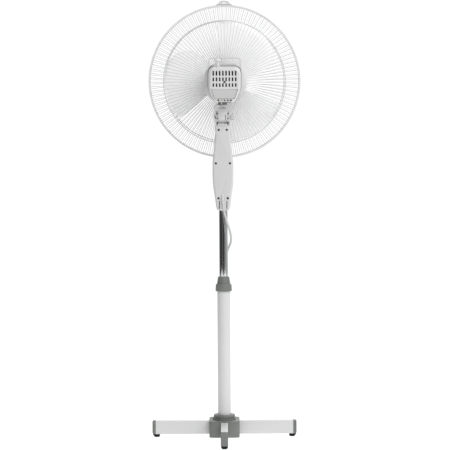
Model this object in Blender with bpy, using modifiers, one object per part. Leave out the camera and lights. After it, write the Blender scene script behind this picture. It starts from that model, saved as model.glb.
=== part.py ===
"""Pedestal fan, in metres, +Z up. The floor is z = 0 and air is blown towards +Y.

The column (base, pole, control box, neck) stands on its own axis, a little to the left of the motor's shaft.
The head is drawn in the motor's frame: its origin is on the shaft over the pivot, +Y points along the shaft to
the blades, and the whole frame leans back about the tilt bolt.
"""

import math

import bmesh
import bpy
from mathutils import Matrix, Vector

GAP = 0.0003  # between neighbours that touch
PIVOT_OFFSET = 0.006  # column axis to motor shaft, sideways
HEAD_LEAN = math.radians(7)  # the head leans back at rest

# Base
LEG_SPAN = 0.411
LEG_WIDTH = 0.019
LEG_HEIGHT = 0.037
LEG_WALL = 0.0012
FOOT_HEIGHT = 0.0085
FOOT_RADIUS = 0.0085
FOOT_INSET = 0.0125
CAP_LENGTH = 0.004
CAP_PLUG = 0.012
CAP_CHAMFER = 0.005
FOOT_TRAY = 0.003
HUB_SIZE = 0.086
HUB_CORNER = 0.012
HUB_TOP_PLATE = 0.0035
HUB_BOTTOM = 0.003
HUB_BOSS_RADIUS = 0.033
HUB_BOSS_HEIGHT = 0.0055
LOCK_RING_RADIUS = 0.0305
LOCK_RING_HEIGHT = 0.008
LOCK_RING_LOBES = 12
BOLT_RADIUS = 0.004
BOLT_HEAD_RADIUS = 0.0065
BOLT_HEAD_HEIGHT = 0.0055
BASE_BOLT_RISE = 0.020

# Pole and height clamp
POLE_RADIUS = 0.0185
POLE_WALL = 0.0012
POLE_TOP = 0.4255
POLE_PLUG_HEIGHT = 0.025
SLEEVE_LENGTH = 0.025
SLEEVE_NECK = 0.0145
COLLET_TOP = 0.4572
COLLET_SLIT = 0.0016
COLLET_TAPER = 0.0014
SLEEVE_FLANGE = 0.0015
SLEEVE_THREAD = 0.002  # how far the threaded neck is inside the pole's outer face
CLAMP_RADIUS = 0.023
CLAMP_SHOULDER = 0.020
CLAMP_TIER = 0.0205
CLAMP_NECK_RADIUS = 0.0155
CLAMP_SKIRT = 0.011  # how far the nut reaches down over the pole
CLAMP_DRAFT = 0.0012
INNER_RADIUS = 0.0125
INNER_WALL = 0.001
INNER_BOTTOM = 0.264
GUIDE_LENGTH = 0.026

# Control box
BOX_BOTTOM = 0.645
BOX_TOP = 0.887
BOX_BACK = -0.030
BOX_FRONT = 0.032
BOX_WALL = 0.0022
BOX_BITE = 0.0005  # how far the back half reaches round the inner tube
BOX_CORNER = 0.006
BACK_CROWN = 0.007
FRONT_CROWN = 0.009
SLIT = (0.0106, 0.0022, 0.0045, 0.0275)  # middle, width, and its two ends above the box's bottom
SLIT_DEPTH = 0.010
BOX_STATIONS = (
    (0.645, 0.0172), (0.658, 0.0202), (0.679, 0.0226), (0.711, 0.0275), (0.742, 0.0295), (0.778, 0.0295),
    (0.838, 0.0235), (0.866, 0.0214), (0.887, 0.0217),
)
BOX_SCREWS = ((0.0115, 0.8735), (0.0200, 0.7785), (0.0130, 0.6795))
SCREW_RADIUS = 0.0015
SCREW_HEAD_RADIUS = 0.0030
SCREW_HEAD_HEIGHT = 0.0020
SCREW_SINK = 0.007
SCREW_BITE = 0.006
POST_WALL = 0.0013
POST_RADIUS = 0.004
TUBE_GRIP = 0.070
RIB_LEVEL = 0.706
RIB_THICK = 0.003
KEY_COUNT = 4
KEY_PITCH = 0.0112
KEY_WIDTH = 0.0096
KEY_HEIGHT = 0.018
KEY_LEVEL = 0.752
KEY_PROUD = 0.007
KEY_TRAVEL = 0.004
KEY_DEPTH = 0.010
KEY_EDGE = 0.0012
SWITCH_DEPTH = 0.016
SWITCH_HALF = 0.012
CAPACITOR = (0.032, 0.015, 0.022)
CAPACITOR_LEVEL = 0.838

# Neck
TILT_LEVEL = 0.911
NECK_HALF = 0.0128
FORK_GAP = 0.0006
EAR_THICK = 0.0054
FORK_PLATE = 0.007
FORK_DEPTH = 0.018
TILT_BOLT_RADIUS = 0.003
TILT_HEAD_RADIUS = 0.0055
TILT_HEAD_HEIGHT = 0.004
KNOB_STEM_RADIUS = 0.0058
KNOB_STEM = 0.0036
KNOB_RADIUS = 0.0078
KNOB_WIDTH = 0.009
NECK_RADIUS = 0.0178
NECK_DEPTH = 0.0125
NECK_TOP = 0.026
NECK_COLLAR_RADIUS = 0.0093
NECK_COLLAR_TOP = 0.036
PIN_RADIUS = 0.0048
PIN_TOP = 0.058
ARM_POINT = (-0.0135, -0.0175)
ARM_HALF = 0.0042
ARM_ROOT = 0.004
ARM_THICK = 0.0025
LINK_THICK = 0.002
LINK_WIDTH = 0.008
LINK_PIN_RADIUS = 0.002

# Motor, in its own frame
SHAFT_RISE = 0.0995  # tilt axis to shaft
SHAFT_RADIUS = 0.004
SHAFT_BACK = -0.0965
SHAFT_FRONT = 0.112
COVER_BACK = -0.125
COVER_SEAM = -0.030
COVER_WALL = 0.0022
COVER_HALF = 0.0466
COVER_TOP = 0.0462
COVER_CORNER = 0.015
COVER_WAIST = -0.0165
COVER_FOOT = -0.055
COVER_FOOT_HALF = 0.0276
COVER_CHEEK = (0.0397, -0.034)
COVER_HEEL = (0.0314, -0.0498)
SLOT_COLUMNS = 8
SLOT_PITCH = 0.0088
SLOT_WIDTH = 0.0036
SLOT_ROWS = ((0.0274, 0.0132), (0.0108, 0.0105), (-0.0049, 0.0097))
VENT_COUNT = 5
VENT_PITCH = 0.0086
VENT_RADIUS = 0.00225
VENT_LEVEL = -0.0468
COVER_SCREW_LEVEL = 0.0034
FLANGE_RADIUS = 0.062
FLANGE_BACK = 0.018
HOUSING_FRONT = 0.037
BOSS_RADIUS = 0.018
BOSS_FRONT = 0.0525
HANDLE_HALF = 0.0462
HANDLE_TOP = 0.0695
HANDLE_THICK = 0.003
HANDLE_CORNER = 0.009
HANDLE_BACK = -0.027
HANDLE_DEPTH = 0.013
STATOR_RADIUS = 0.038
STATOR_BORE = 0.0215
STATOR_BACK = -0.046
STATOR_LENGTH = 0.022
WINDING_LENGTH = 0.009
COIL_BARS = 6
COIL_BAR_RADIUS = 0.003
BELL_RADIUS = 0.0400
BELL_THICK = 0.003
BEARING_RADIUS = 0.009
BEARING_LENGTH = 0.008
ROTOR_GAP = 0.0007
BRACKET_RADIUS = 0.0125
BRACKET_PAD = (-0.020, 0.014, -0.020, 0.012)
WORM_RADIUS = 0.0055
WORM_LENGTH = 0.016
GEAR_AXIS = (-0.0187, -0.082)
WHEEL_THICK = 0.008
SPINDLE_RADIUS = 0.003
SPINDLE_TOP = 0.022
PINION_RADIUS = 0.0045
CRANK_AXIS = (-0.0010, -0.082)
CRANK_GEAR_LEVEL = -0.034
CRANK_GEAR_THICK = 0.005
CRANK_THROW = 0.009
CRANK_PIN_RADIUS = 0.002
CRANK_REST = math.radians(208)
GEARBOX_LOW = (-0.0345, -0.100, -0.037)
GEARBOX_HIGH = (0.017, -0.0575, 0.014)
GEARBOX_WALL = 0.002
GEARBOX_POST = 0.0045
COVER_SCREW_LENGTH = 0.019
COVER_SCREW_HEAD = 0.0018
PULL_HOLE_RADIUS = 0.0056
PULL_STEM_RADIUS = 0.005
PULL_STEM_BOTTOM = 0.0305
PULL_CAP_RADIUS = 0.0085
PULL_CAP_LEVEL = 0.0605
PULL_CAP_TOP = 0.0655

# Guard and impeller, in the motor's frame
GUARD_RADIUS = 0.2225
RIM_THICK = 0.0030
RIM_WIDTH = 0.018
RIM_CENTRE = 0.102
WIRE_COUNT = 36
WIRE_WIDTH = 0.0022
WIRE_THICK = 0.0016
HOOP_WIDTH = 0.003
MID_HOOP = 0.176
REAR_PLATE_RADIUS = 0.0185
REAR_HUB_HOOP = 0.052
REAR_CENTRE_LEVEL = 0.0385
REAR_MID_LEVEL = 0.057
REAR_RIM_LEVEL = 0.096
FRONT_HUB_HOOP = 0.040
FRONT_CENTRE_LEVEL = 0.166
FRONT_MID_LEVEL = 0.149
FRONT_RIM_LEVEL = 0.108
BADGE_RADIUS = 0.045
BADGE_THICK = 0.004
GUARD_NUT_RADIUS = 0.029
GUARD_NUT_LENGTH = 0.009
CLIP_HALF = 0.0245
CLIP_TOP_HALF = 0.0095
CLIP_HEIGHT = 0.0115
CLIP_WIDTH = 0.022
CLIP_WINDOW = (0.0065, 0.004)
RIM_SCREW_RADIUS = 0.002
RIM_SCREW_HEAD = (0.0036, 0.0025)
RIM_LIP = 0.003
RIM_LIP_THICK = 0.0015
RIM_SPLIT = 0.0016
LUG_SIZE = (0.016, 0.012, 0.010)
LUG_SCREW_DEPTH = 0.0055
BLADE_COUNT = 3
BLADE_HUB_RADIUS = 0.045
BLADE_HUB_BACK = 0.0545
BLADE_HUB_WALL = 0.0025
BLADE_HUB_BUSH = 0.009
BLADE_HUB_FRONT = 0.102
BLADE_THICK = 0.0022
BLADE_LEAD = 0.065
BLADE_RISE = 0.042
BLADE_STATIONS = (  # radius, leading angle, trailing angle
    (0.042, 96, 2), (0.070, 97, 6), (0.108, 98.4, 12), (0.142, 99, 20), (0.162, 98, 28), (0.172, 95, 36),
    (0.176, 89, 46),
)
SPINNER_RADIUS = 0.020
SPINNER_LENGTH = 0.016

# Cord
CORD_DIAMETER = 0.006
BOOT_TOP = (-0.0027, -0.0235, 0.7000)
BOOT_END = (0.0000, -0.0365, 0.6640)
BOOT_RADIUS = (0.0047, 0.0036)
COIL_CENTRE = (0.092, 0.112)
COIL_RADIUS = 0.033
COIL_HALF = 0.0064
COIL_HEIGHT = 0.0126
PLUG_PLACE = (0.145, COIL_CENTRE[1] - COIL_RADIUS - COIL_HALF / 2)  # in line with the coil's outer turn
PLUG_RADIUS = 0.0125
PLUG_LENGTH = 0.036
PLUG_PIN_RADIUS = 0.0024
PLUG_PIN_LENGTH = 0.019
PLUG_PIN_PITCH = 0.0165

PLAN = (0.0, 0.0, 0.0)
UPRIGHT = (math.pi / 2, 0.0, 0.0)
SIDEWAYS = (math.pi / 2, 0.0, math.pi / 2)
ALONG_Y = (-math.pi / 2, 0.0, 0.0)
ALONG_X = (0.0, math.pi / 2, 0.0)


# ------------------------------------------------------------------ tools

def clear_scene():
    for old in list(bpy.data.objects):
        bpy.data.objects.remove(old)


def collection(name):
    made = bpy.data.collections.new(name)
    bpy.context.scene.collection.children.link(made)
    return made


def link(name, mesh, parent, location=(0, 0, 0), rotation=PLAN):
    made = bpy.data.objects.new(name, mesh)
    parts.objects.link(made)
    made.parent = parent
    made.location = location
    made.rotation_euler = rotation
    return made


def empty(name, parent=None, location=(0, 0, 0), rotation=PLAN):
    return link(name, None, parent, location, rotation)


def as_tool(target):
    """Make an object a cutter: out of the parts, and never shown."""
    parts.objects.unlink(target)
    tools.objects.link(target)
    target.hide_render = True
    target.display_type = "WIRE"
    return target


def boolean(target, tool, operation):
    made = target.modifiers.new(operation.lower(), "BOOLEAN")
    made.operation = operation
    made.object = as_tool(tool)
    made.solver = "EXACT"


def cut(target, *cutters):
    for cutter in cutters:
        boolean(target, cutter, "DIFFERENCE")


def fuse(target, *others):
    for other in others:
        boolean(target, other, "UNION")


def settle(target):
    """Replace a curve, or an object with modifiers, by the welded mesh that it shows."""
    depsgraph = bpy.context.evaluated_depsgraph_get()
    depsgraph.update()
    mesh = bpy.data.meshes.new_from_object(target.evaluated_get(depsgraph))
    work = bmesh.new()
    work.from_mesh(mesh)
    bmesh.ops.remove_doubles(work, verts=work.verts, dist=0.00001)
    bmesh.ops.recalc_face_normals(work, faces=work.faces)
    work.to_mesh(mesh)
    work.free()
    name = target.name
    parent, location, rotation = target.parent, target.location.copy(), target.rotation_euler.copy()
    bpy.data.objects.remove(target)
    made = link(name, mesh, parent, location, rotation)
    made.name = name
    return made


def block(name, parent, low, high, bevel=0.0):
    """A box between two corners."""
    work = bmesh.new()
    bmesh.ops.create_cube(work, size=1.0)
    size = Vector(high) - Vector(low)
    centre = (Vector(high) + Vector(low)) / 2
    bmesh.ops.transform(work, matrix=Matrix.Translation(centre) @ Matrix.Diagonal((*size, 1)), verts=work.verts)
    mesh = bpy.data.meshes.new(name)
    work.to_mesh(mesh)
    work.free()
    made = link(name, mesh, parent)
    if bevel:
        rounded = made.modifiers.new("bevel", "BEVEL")
        rounded.width = bevel
        rounded.segments = 1
    return made


def rod(name, parent, radius, start, length, rotation=PLAN, sides=16, end_radius=None):
    """A cylinder or cone from start, along the local Z of the given rotation."""
    work = bmesh.new()
    bmesh.ops.create_cone(
        work, cap_ends=True, segments=sides, radius1=radius, depth=length,
        radius2=radius if end_radius is None else end_radius,
    )
    bmesh.ops.translate(work, vec=(0, 0, length / 2), verts=work.verts)
    mesh = bpy.data.meshes.new(name)
    work.to_mesh(mesh)
    work.free()
    return link(name, mesh, parent, start, rotation)


def turned(name, parent, profile, steps=24, location=(0, 0, 0), rotation=PLAN):
    """A profile of (radius, height) turned about local Z. A profile that misses the axis is closed."""
    mesh = bpy.data.meshes.new(name)
    points = [(radius, 0.0, height) for radius, height in profile]
    edges = [(i, i + 1) for i in range(len(points) - 1)]
    if profile[0][0] > 0:
        edges.append((len(points) - 1, 0))
    mesh.from_pydata(points, edges, [])
    made = link(name, mesh, parent, location, rotation)
    screw = made.modifiers.new("screw", "SCREW")
    screw.steps = steps
    screw.render_steps = steps
    screw.use_merge_vertices = True
    screw.merge_threshold = 0.0001
    screw.use_smooth_shade = True
    return made


def ring(name, parent, outer, inner, low, high, steps=24, location=(0, 0, 0), rotation=PLAN):
    profile = [(outer, high), (outer, low), (inner, low), (inner, high)]
    return turned(name, parent, profile, steps, location, rotation)


def prism(name, parent, outlines, low, high, frame=PLAN):
    """Flat outlines, the first one filled and the rest as holes, given a thickness from low to high."""
    curve = bpy.data.curves.new(name, "CURVE")
    curve.dimensions = "2D"
    curve.fill_mode = "BOTH"
    curve.extrude = (high - low) / 2
    for outline in outlines:
        spline = curve.splines.new("POLY")
        spline.points.add(len(outline) - 1)
        for point, (x, y) in zip(spline.points, outline):
            point.co = (x, y, 0, 1)
        spline.use_cyclic_u = True
    middle = (high + low) / 2
    place = {PLAN: (0, 0, middle), UPRIGHT: (0, middle, 0), SIDEWAYS: (middle, 0, 0)}[frame]
    return settle(link(name, curve, parent, place, frame))


def arc(centre, radius, start, end, steps):
    """Points round a circle, from one angle to another in degrees."""
    turns = [math.radians(start + (end - start) * i / steps) for i in range(steps + 1)]
    return [(centre[0] + radius * math.cos(t), centre[1] + radius * math.sin(t)) for t in turns]


def rounded_rectangle(half_x, half_y, radius, steps=3):
    outline = []
    for quarter, (sx, sy) in enumerate(((1, 1), (-1, 1), (-1, -1), (1, -1))):
        centre = (sx * (half_x - radius), sy * (half_y - radius))
        outline += arc(centre, radius, 90 * quarter, 90 * quarter + 90, steps)
    return outline


def loft(name, parent, rings):
    """Skin rings of equal count and close both ends."""
    work = bmesh.new()
    rows = [[work.verts.new(point) for point in points] for points in rings]
    count = len(rows[0])
    for near, far in zip(rows, rows[1:]):
        for i in range(count):
            j = (i + 1) % count
            work.faces.new((near[i], near[j], far[j], far[i]))
    work.faces.new(rows[0])
    work.faces.new(rows[-1])
    bmesh.ops.recalc_face_normals(work, faces=work.faces)
    mesh = bpy.data.meshes.new(name)
    work.to_mesh(mesh)
    work.free()
    return link(name, mesh, parent)


def thicken(target, wall, offset):
    made = target.modifiers.new("solidify", "SOLIDIFY")
    made.thickness = wall
    made.offset = offset
    made.use_even_offset = True


def inset(outline, distance):
    """Move an outline inwards, along the bisector at each point."""
    moved = []
    count = len(outline)
    for i, point in enumerate(outline):
        before = (Vector(point) - Vector(outline[i - 1])).normalized()
        after = (Vector(outline[(i + 1) % count]) - Vector(point)).normalized()
        normal = Vector((-(before.y + after.y), before.x + after.x)).normalized()
        shrink = distance / max(0.5, normal.dot(Vector((-after.y, after.x))))
        moved.append((point[0] + normal.x * shrink, point[1] + normal.y * shrink))
    return moved


def shrunk(outline, distance):
    """Scale an outline about its middle, so that its sides come in by about this much."""
    left, right = min(x for x, _ in outline), max(x for x, _ in outline)
    low, high = min(z for _, z in outline), max(z for _, z in outline)
    middle_x, middle_z = (left + right) / 2, (low + high) / 2
    scale_x = 1 - 2 * distance / (right - left)
    scale_z = 1 - 2 * distance / (high - low)
    return [(middle_x + (x - middle_x) * scale_x, middle_z + (z - middle_z) * scale_z) for x, z in outline]


def at_depth(outline, y):
    return [(x, y, z) for x, z in outline]


def hollow(name, parent, stations, wall, overrun):
    """A shell that is open at its first station. Each station is (outline, y); the last one is its face."""
    seam, face = stations[0][1], stations[-1][1]
    inward = wall if face < seam else -wall
    outer = loft(name, parent, [at_depth(outline, y) for outline, y in stations])
    room = [(inset(stations[0][0], wall), seam + overrun * (1 if face < seam else -1))]
    room += [(inset(outline, wall), y + inward) for outline, y in stations[1:]]
    cut(outer, loft(name + "_room", parent, [at_depth(outline, y) for outline, y in room]))
    return outer


def through(points, step):
    """A smooth curve through points, read at about even steps along its length."""
    guides = [Vector(p) for p in points]
    guides = [2 * guides[0] - guides[1], *guides, 2 * guides[-1] - guides[-2]]
    read = []
    for a, b, c, d in zip(guides, guides[1:], guides[2:], guides[3:]):
        count = max(1, round((c - b).length / step))
        for i in range(count):
            t = i / count
            read.append(0.5 * (2 * b + (c - a) * t + (2 * a - 5 * b + 4 * c - d) * t * t
                               + (3 * b - a - 3 * c + d) * t * t * t))
    return [*read, guides[-2]]


def repeat(pattern, names, places):
    """Give the same mesh to several objects, each at a (location, turn about Z), and drop the pattern."""
    parent = pattern.parent
    mesh = pattern.data
    mesh.transform(pattern.matrix_basis)
    bpy.data.objects.remove(pattern)
    for name, (location, turn) in zip(names, places):
        link(name, mesh, parent, location, (0, 0, turn))


def material(name, colour, roughness, metallic=0.0):
    made = bpy.data.materials.new(name)
    made.use_nodes = True
    shader = made.node_tree.nodes["Principled BSDF"]
    shader.inputs["Base Color"].default_value = (*colour, 1)
    shader.inputs["Roughness"].default_value = roughness
    shader.inputs["Metallic"].default_value = metallic
    return made


def paint(target, look):
    target.data.materials.clear()
    target.data.materials.append(looks[look])
    if isinstance(target.data, bpy.types.Mesh) and target.data.polygons:
        target.data.shade_smooth()
        target.data.set_sharp_from_angle(angle=math.radians(35))


# ------------------------------------------------------------------ base

LEG_BOTTOM = FOOT_HEIGHT
LEG_TOP = LEG_BOTTOM + LEG_HEIGHT
LEG_MIDDLE = (LEG_BOTTOM + LEG_TOP) / 2
HUB_TOP = LEG_TOP + GAP + HUB_TOP_PLATE
BOSS_TOP = HUB_TOP + HUB_BOSS_HEIGHT
POLE_BOTTOM = LEG_TOP + GAP


def box_tube(name, along_x):
    """A leg: a box-section tube the length of the span between its end caps."""
    reach = LEG_SPAN / 2 - CAP_LENGTH - GAP
    half = LEG_WIDTH / 2
    slack = 0.01

    def between(size, low, high, extra):
        x, y = (reach + extra, size) if along_x else (size, reach + extra)
        return (-x, -y, low), (x, y, high)

    leg = block(name, column, *between(half, LEG_BOTTOM, LEG_TOP, 0))
    bore = block(name + "_bore", column, *between(half - LEG_WALL, LEG_BOTTOM + LEG_WALL, LEG_TOP - LEG_WALL, slack))
    notch_half = half + GAP
    if along_x:
        low, high = LEG_MIDDLE - GAP / 2, LEG_TOP + slack
    else:
        low, high = LEG_BOTTOM - slack, LEG_MIDDLE + GAP / 2
    notch = block(name + "_notch", column, (-notch_half, -notch_half, low), (notch_half, notch_half, high))
    drill = rod(name + "_drill", column, BOLT_RADIUS + GAP, (0, 0, LEG_BOTTOM - slack), LEG_HEIGHT + 2 * slack)
    cut(leg, bore, notch, drill)
    paint(leg, "white_paint")


def leg_feet():
    """A plug in each leg's end, with a tray under the leg that holds a rubber pad."""
    outer = LEG_SPAN / 2
    face = outer - CAP_LENGTH
    tray_top = LEG_BOTTOM - GAP
    tray_low = tray_top - FOOT_TRAY
    outline = [(face, tray_low), (outer - CAP_CHAMFER / 2, tray_low), (outer, LEG_BOTTOM + CAP_CHAMFER),
               (outer, LEG_TOP - 0.001), (outer - 0.001, LEG_TOP), (face, LEG_TOP)]
    foot = prism("leg_foot", column, [outline], -LEG_WIDTH / 2, LEG_WIDTH / 2, UPRIGHT)
    inside = LEG_WALL + GAP
    pad_centre = outer - FOOT_INSET
    pad = [(0, tray_low + 0.001), (FOOT_RADIUS, tray_low + 0.001), (FOOT_RADIUS, 0.0015),
           (FOOT_RADIUS - 0.0015, 0), (0, 0)]
    fuse(
        foot,
        block("foot_plug", column, (face - CAP_PLUG, inside - LEG_WIDTH / 2, LEG_BOTTOM + inside),
              (face + CAP_LENGTH / 2, LEG_WIDTH / 2 - inside, LEG_TOP - inside)),
        block("foot_tray", column, (pad_centre - FOOT_RADIUS, -LEG_WIDTH / 2, tray_low),
              (face + CAP_LENGTH / 4, LEG_WIDTH / 2, tray_top)),
        turned("foot_pad", column, pad, 16, (pad_centre, 0, 0)),
    )
    foot = settle(foot)
    paint(foot, "black_rubber")
    names = ("leg_foot_right", "leg_foot_front", "leg_foot_left", "leg_foot_back")
    repeat(foot, names, [((0, 0, 0), math.pi / 2 * i) for i in range(4)])


def hub_cover():
    """A cap over the crossed legs, with a post in each corner between them and a boss round the pole."""
    half = HUB_SIZE / 2
    hub = prism("hub_cover", column, [rounded_rectangle(half, half, HUB_CORNER, 4)], HUB_BOTTOM, HUB_TOP)
    boss = rod("hub_boss", column, HUB_BOSS_RADIUS, (0, 0, HUB_TOP - 0.001), HUB_BOSS_HEIGHT + 0.001, sides=32)
    fuse(hub, boss)
    slot = LEG_WIDTH / 2 + GAP
    reach = half + 0.01
    top = LEG_TOP + GAP
    cut(
        hub,
        block("hub_slot_x", column, (-reach, -slot, -0.01), (reach, slot, top)),
        block("hub_slot_y", column, (-slot, -reach, -0.01), (slot, reach, top)),
        rod("hub_bore", column, POLE_RADIUS + GAP, (0, 0, LEG_TOP), 0.05, sides=32),
    )
    paint(hub, "grey_plastic")


def hub_ring():
    """A scalloped lock ring on the boss."""
    def edge(turn):
        return LOCK_RING_RADIUS - 0.0007 * (1 - math.cos(LOCK_RING_LOBES * turn))

    count = LOCK_RING_LOBES * 4
    turns = [2 * math.pi * i / count for i in range(count)]
    outline = [(edge(t) * math.cos(t), edge(t) * math.sin(t)) for t in turns]
    bore = arc((0, 0), POLE_RADIUS + GAP, 0, 345, 23)
    bottom = BOSS_TOP + GAP
    paint(prism("hub_ring", column, [outline, bore], bottom, bottom + LOCK_RING_HEIGHT), "grey_plastic")


def base_bolt():
    """The bolt from under the crossed legs into the pole's foot."""
    head_top = LEG_BOTTOM - GAP
    bolt = rod("base_bolt", column, BOLT_HEAD_RADIUS, (0, 0, head_top - BOLT_HEAD_HEIGHT), BOLT_HEAD_HEIGHT, sides=6)
    shank_top = POLE_BOTTOM + BASE_BOLT_RISE
    fuse(bolt, rod("bolt_shank", column, BOLT_RADIUS, (0, 0, head_top - 0.001), shank_top - head_top + 0.001, sides=12))
    paint(bolt, "steel")


# ------------------------------------------------------------------ pole and clamp

SLEEVE_TOP = POLE_TOP + GAP + SLEEVE_NECK
NECK_OUT = POLE_RADIUS - SLEEVE_THREAD
COLLET_BORE = INNER_RADIUS + GAP


def pole():
    """The outer tube, with a threaded plug welded into its foot."""
    inner = POLE_RADIUS - POLE_WALL
    bore = BOLT_RADIUS + GAP
    plug_top = POLE_BOTTOM + POLE_PLUG_HEIGHT
    profile = [(POLE_RADIUS, POLE_TOP), (POLE_RADIUS, POLE_BOTTOM), (bore, POLE_BOTTOM), (bore, plug_top),
               (inner, plug_top), (inner, POLE_TOP)]
    paint(turned("outer_tube", column, profile, 32), "white_paint")


def collet_sleeve():
    """The sleeve in the top of the outer tube: a flange, a threaded neck and split tapered fingers."""
    outer = POLE_RADIUS - POLE_WALL - GAP
    flange = POLE_TOP + GAP
    low = POLE_TOP - SLEEVE_LENGTH
    profile = [
        (CLAMP_NECK_RADIUS - COLLET_TAPER, COLLET_TOP), (NECK_OUT - SLEEVE_FLANGE, SLEEVE_TOP), (NECK_OUT, SLEEVE_TOP),
        (NECK_OUT, flange + SLEEVE_FLANGE), (POLE_RADIUS, flange + SLEEVE_FLANGE), (POLE_RADIUS, flange),
        (outer, flange),
        (outer, low), (COLLET_BORE, low), (COLLET_BORE, COLLET_TOP),
    ]
    sleeve = turned("collet_sleeve", column, profile, 24)
    reach = POLE_RADIUS
    half = COLLET_SLIT / 2
    low_slit = SLEEVE_TOP - 0.004
    cut(
        sleeve,
        block("collet_slit_x", column, (-reach, -half, low_slit), (reach, half, COLLET_TOP + 0.01)),
        block("collet_slit_y", column, (-half, -reach, low_slit), (half, reach, COLLET_TOP + 0.01)),
    )
    paint(sleeve, "grey_plastic")


def clamp_nut():
    """The two-tier nut that squeezes the collet onto the inner tube."""
    bottom = POLE_TOP + GAP - CLAMP_SKIRT
    shoulder = bottom + CLAMP_TIER
    top = COLLET_TOP - 0.0015
    bore = POLE_RADIUS + 2 * GAP
    profile = [
        (CLAMP_NECK_RADIUS, top), (CLAMP_SHOULDER - CLAMP_DRAFT, shoulder), (CLAMP_RADIUS - CLAMP_DRAFT, shoulder),
        (CLAMP_RADIUS, bottom), (bore, bottom), (bore, POLE_TOP + 0.0030),
        (NECK_OUT + GAP, POLE_TOP + 0.0045), (NECK_OUT + GAP, SLEEVE_TOP), (CLAMP_NECK_RADIUS - 0.0008, top),
    ]
    paint(turned("clamp_nut", column, profile, 24), "grey_plastic")


def inner_tube():
    top = BOX_BOTTOM + TUBE_GRIP
    paint(ring("inner_tube", column, INNER_RADIUS, INNER_RADIUS - INNER_WALL, INNER_BOTTOM, top, 32), "chrome")
    outer = POLE_RADIUS - POLE_WALL - GAP
    guide_top = INNER_BOTTOM + GUIDE_LENGTH
    paint(ring("tube_guide", column, outer, INNER_RADIUS + GAP, INNER_BOTTOM, guide_top, 20), "black_rubber")


# ------------------------------------------------------------------ control box

BOX_SEAM = BOX_BITE - INNER_RADIUS


def box_half(level):
    """Half the control box's width at a height, a straight line between stations."""
    for (low, near), (high, far) in zip(BOX_STATIONS, BOX_STATIONS[1:]):
        if level <= high:
            return near + (far - near) * (level - low) / (high - low)
    return BOX_STATIONS[-1][1]


def box_outline():
    """The box seen from behind: right side up, left side down, with round lower corners."""
    foot = BOX_STATIONS[0][1]
    right = arc((foot - BOX_CORNER, BOX_BOTTOM + BOX_CORNER), BOX_CORNER, -90, 0, 3)
    right += [(width, level) for level, width in BOX_STATIONS[1:]]
    return right + [(-x, z) for x, z in reversed(right)]


def box_shell(name, seam, face, crown):
    """Half of the control box: open at the seam, with a face that is rounded off at its edge."""
    inward = crown if face < seam else -crown
    outline = box_outline()
    stations = [(outline, seam), (outline, face + inward), (shrunk(outline, crown * 0.3), face + inward * 0.3),
                (shrunk(outline, crown), face)]
    shell = hollow(name, column, stations, BOX_WALL, 0.005)
    half = box_half(RIB_LEVEL) - BOX_WALL / 2
    near, far = sorted((seam - inward * 0.04, face + inward * 0.1))
    fuse(shell, block(name + "_rib", column, (-half, near, RIB_LEVEL), (half, far, RIB_LEVEL + RIB_THICK)))
    return shell


def screw_places():
    """(name, x, z) of the six screws that hold the box together."""
    rows = zip(("upper", "middle", "lower"), BOX_SCREWS)
    return [(f"{row}_{side}", sign * x, z) for row, (x, z) in rows for side, sign in (("left", -1), ("right", 1))]


def control_box_back():
    seam = BOX_SEAM - GAP / 2
    shell = box_shell("control_box_back", seam, BOX_BACK, BACK_CROWN)
    seat = BOX_BACK + SCREW_SINK
    wide = SCREW_HEAD_RADIUS + GAP
    start = BOX_BACK + 0.0008
    for row, x, z in screw_places():
        fuse(shell, rod("back_post_" + row, column, wide + POST_WALL, (x, start, z), seam - start, ALONG_Y, 8))
    for row, x, z in screw_places():
        cut(
            shell,
            rod("back_sink_" + row, column, wide, (x, BOX_BACK - 0.01, z), seat - BOX_BACK + 0.01, ALONG_Y, 8),
            rod("back_hole_" + row, column, SCREW_RADIUS + GAP, (x, seat - 0.001, z), 0.03, ALONG_Y, 8),
        )
    middle, width, low, high = SLIT
    for side in (-1, 1):
        x = side * middle
        cut(shell, block(f"back_slit_{side}", column, (x - width / 2, BOX_BACK - 0.01, BOX_BOTTOM + low),
                         (x + width / 2, BOX_BACK + SLIT_DEPTH, BOX_BOTTOM + high)))
    cut(shell, boot_shape("boot_room", GAP, 0.004), *box_openings("back"))
    paint(shell, "grey_white_plastic")


def box_openings(side):
    """Where the inner tube enters from below, and where the fork sits in the top."""
    fork = (NECK_HALF + FORK_GAP + EAR_THICK + GAP, FORK_DEPTH + GAP)
    start = BOX_BOTTOM - 0.02
    return (
        rod(side + "_tube_hole", column, INNER_RADIUS + GAP, (0, 0, start), 0.02 + TUBE_GRIP + GAP, sides=24),
        block(side + "_fork_hole", column, (-fork[0], -fork[1], BOX_TOP - FORK_PLATE - GAP),
              (fork[0], fork[1], BOX_TOP + 0.02)),
    )


def control_box_front():
    seam = BOX_SEAM + GAP / 2
    shell = box_shell("control_box_front", seam, BOX_FRONT, FRONT_CROWN)
    for row, x, z in screw_places():
        fuse(shell, rod("front_post_" + row, column, POST_RADIUS, (x, seam, z), BOX_FRONT - 0.001 - seam, ALONG_Y, 8))
    for row, x, z in screw_places():
        cut(shell, rod("front_hole_" + row, column, SCREW_RADIUS + GAP, (x, BOX_SEAM - 0.005, z),
                       SCREW_BITE + 0.006, ALONG_Y, 8))
    reach = KEY_COUNT * KEY_PITCH / 2
    half = KEY_HEIGHT / 2 + 2 * GAP
    cut(shell, block("key_window", column, (-reach, BOX_FRONT - 0.006, KEY_LEVEL - half),
                     (reach, BOX_FRONT + 0.01, KEY_LEVEL + half)))
    cut(shell, *box_openings("front"))
    paint(shell, "grey_white_plastic")


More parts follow.
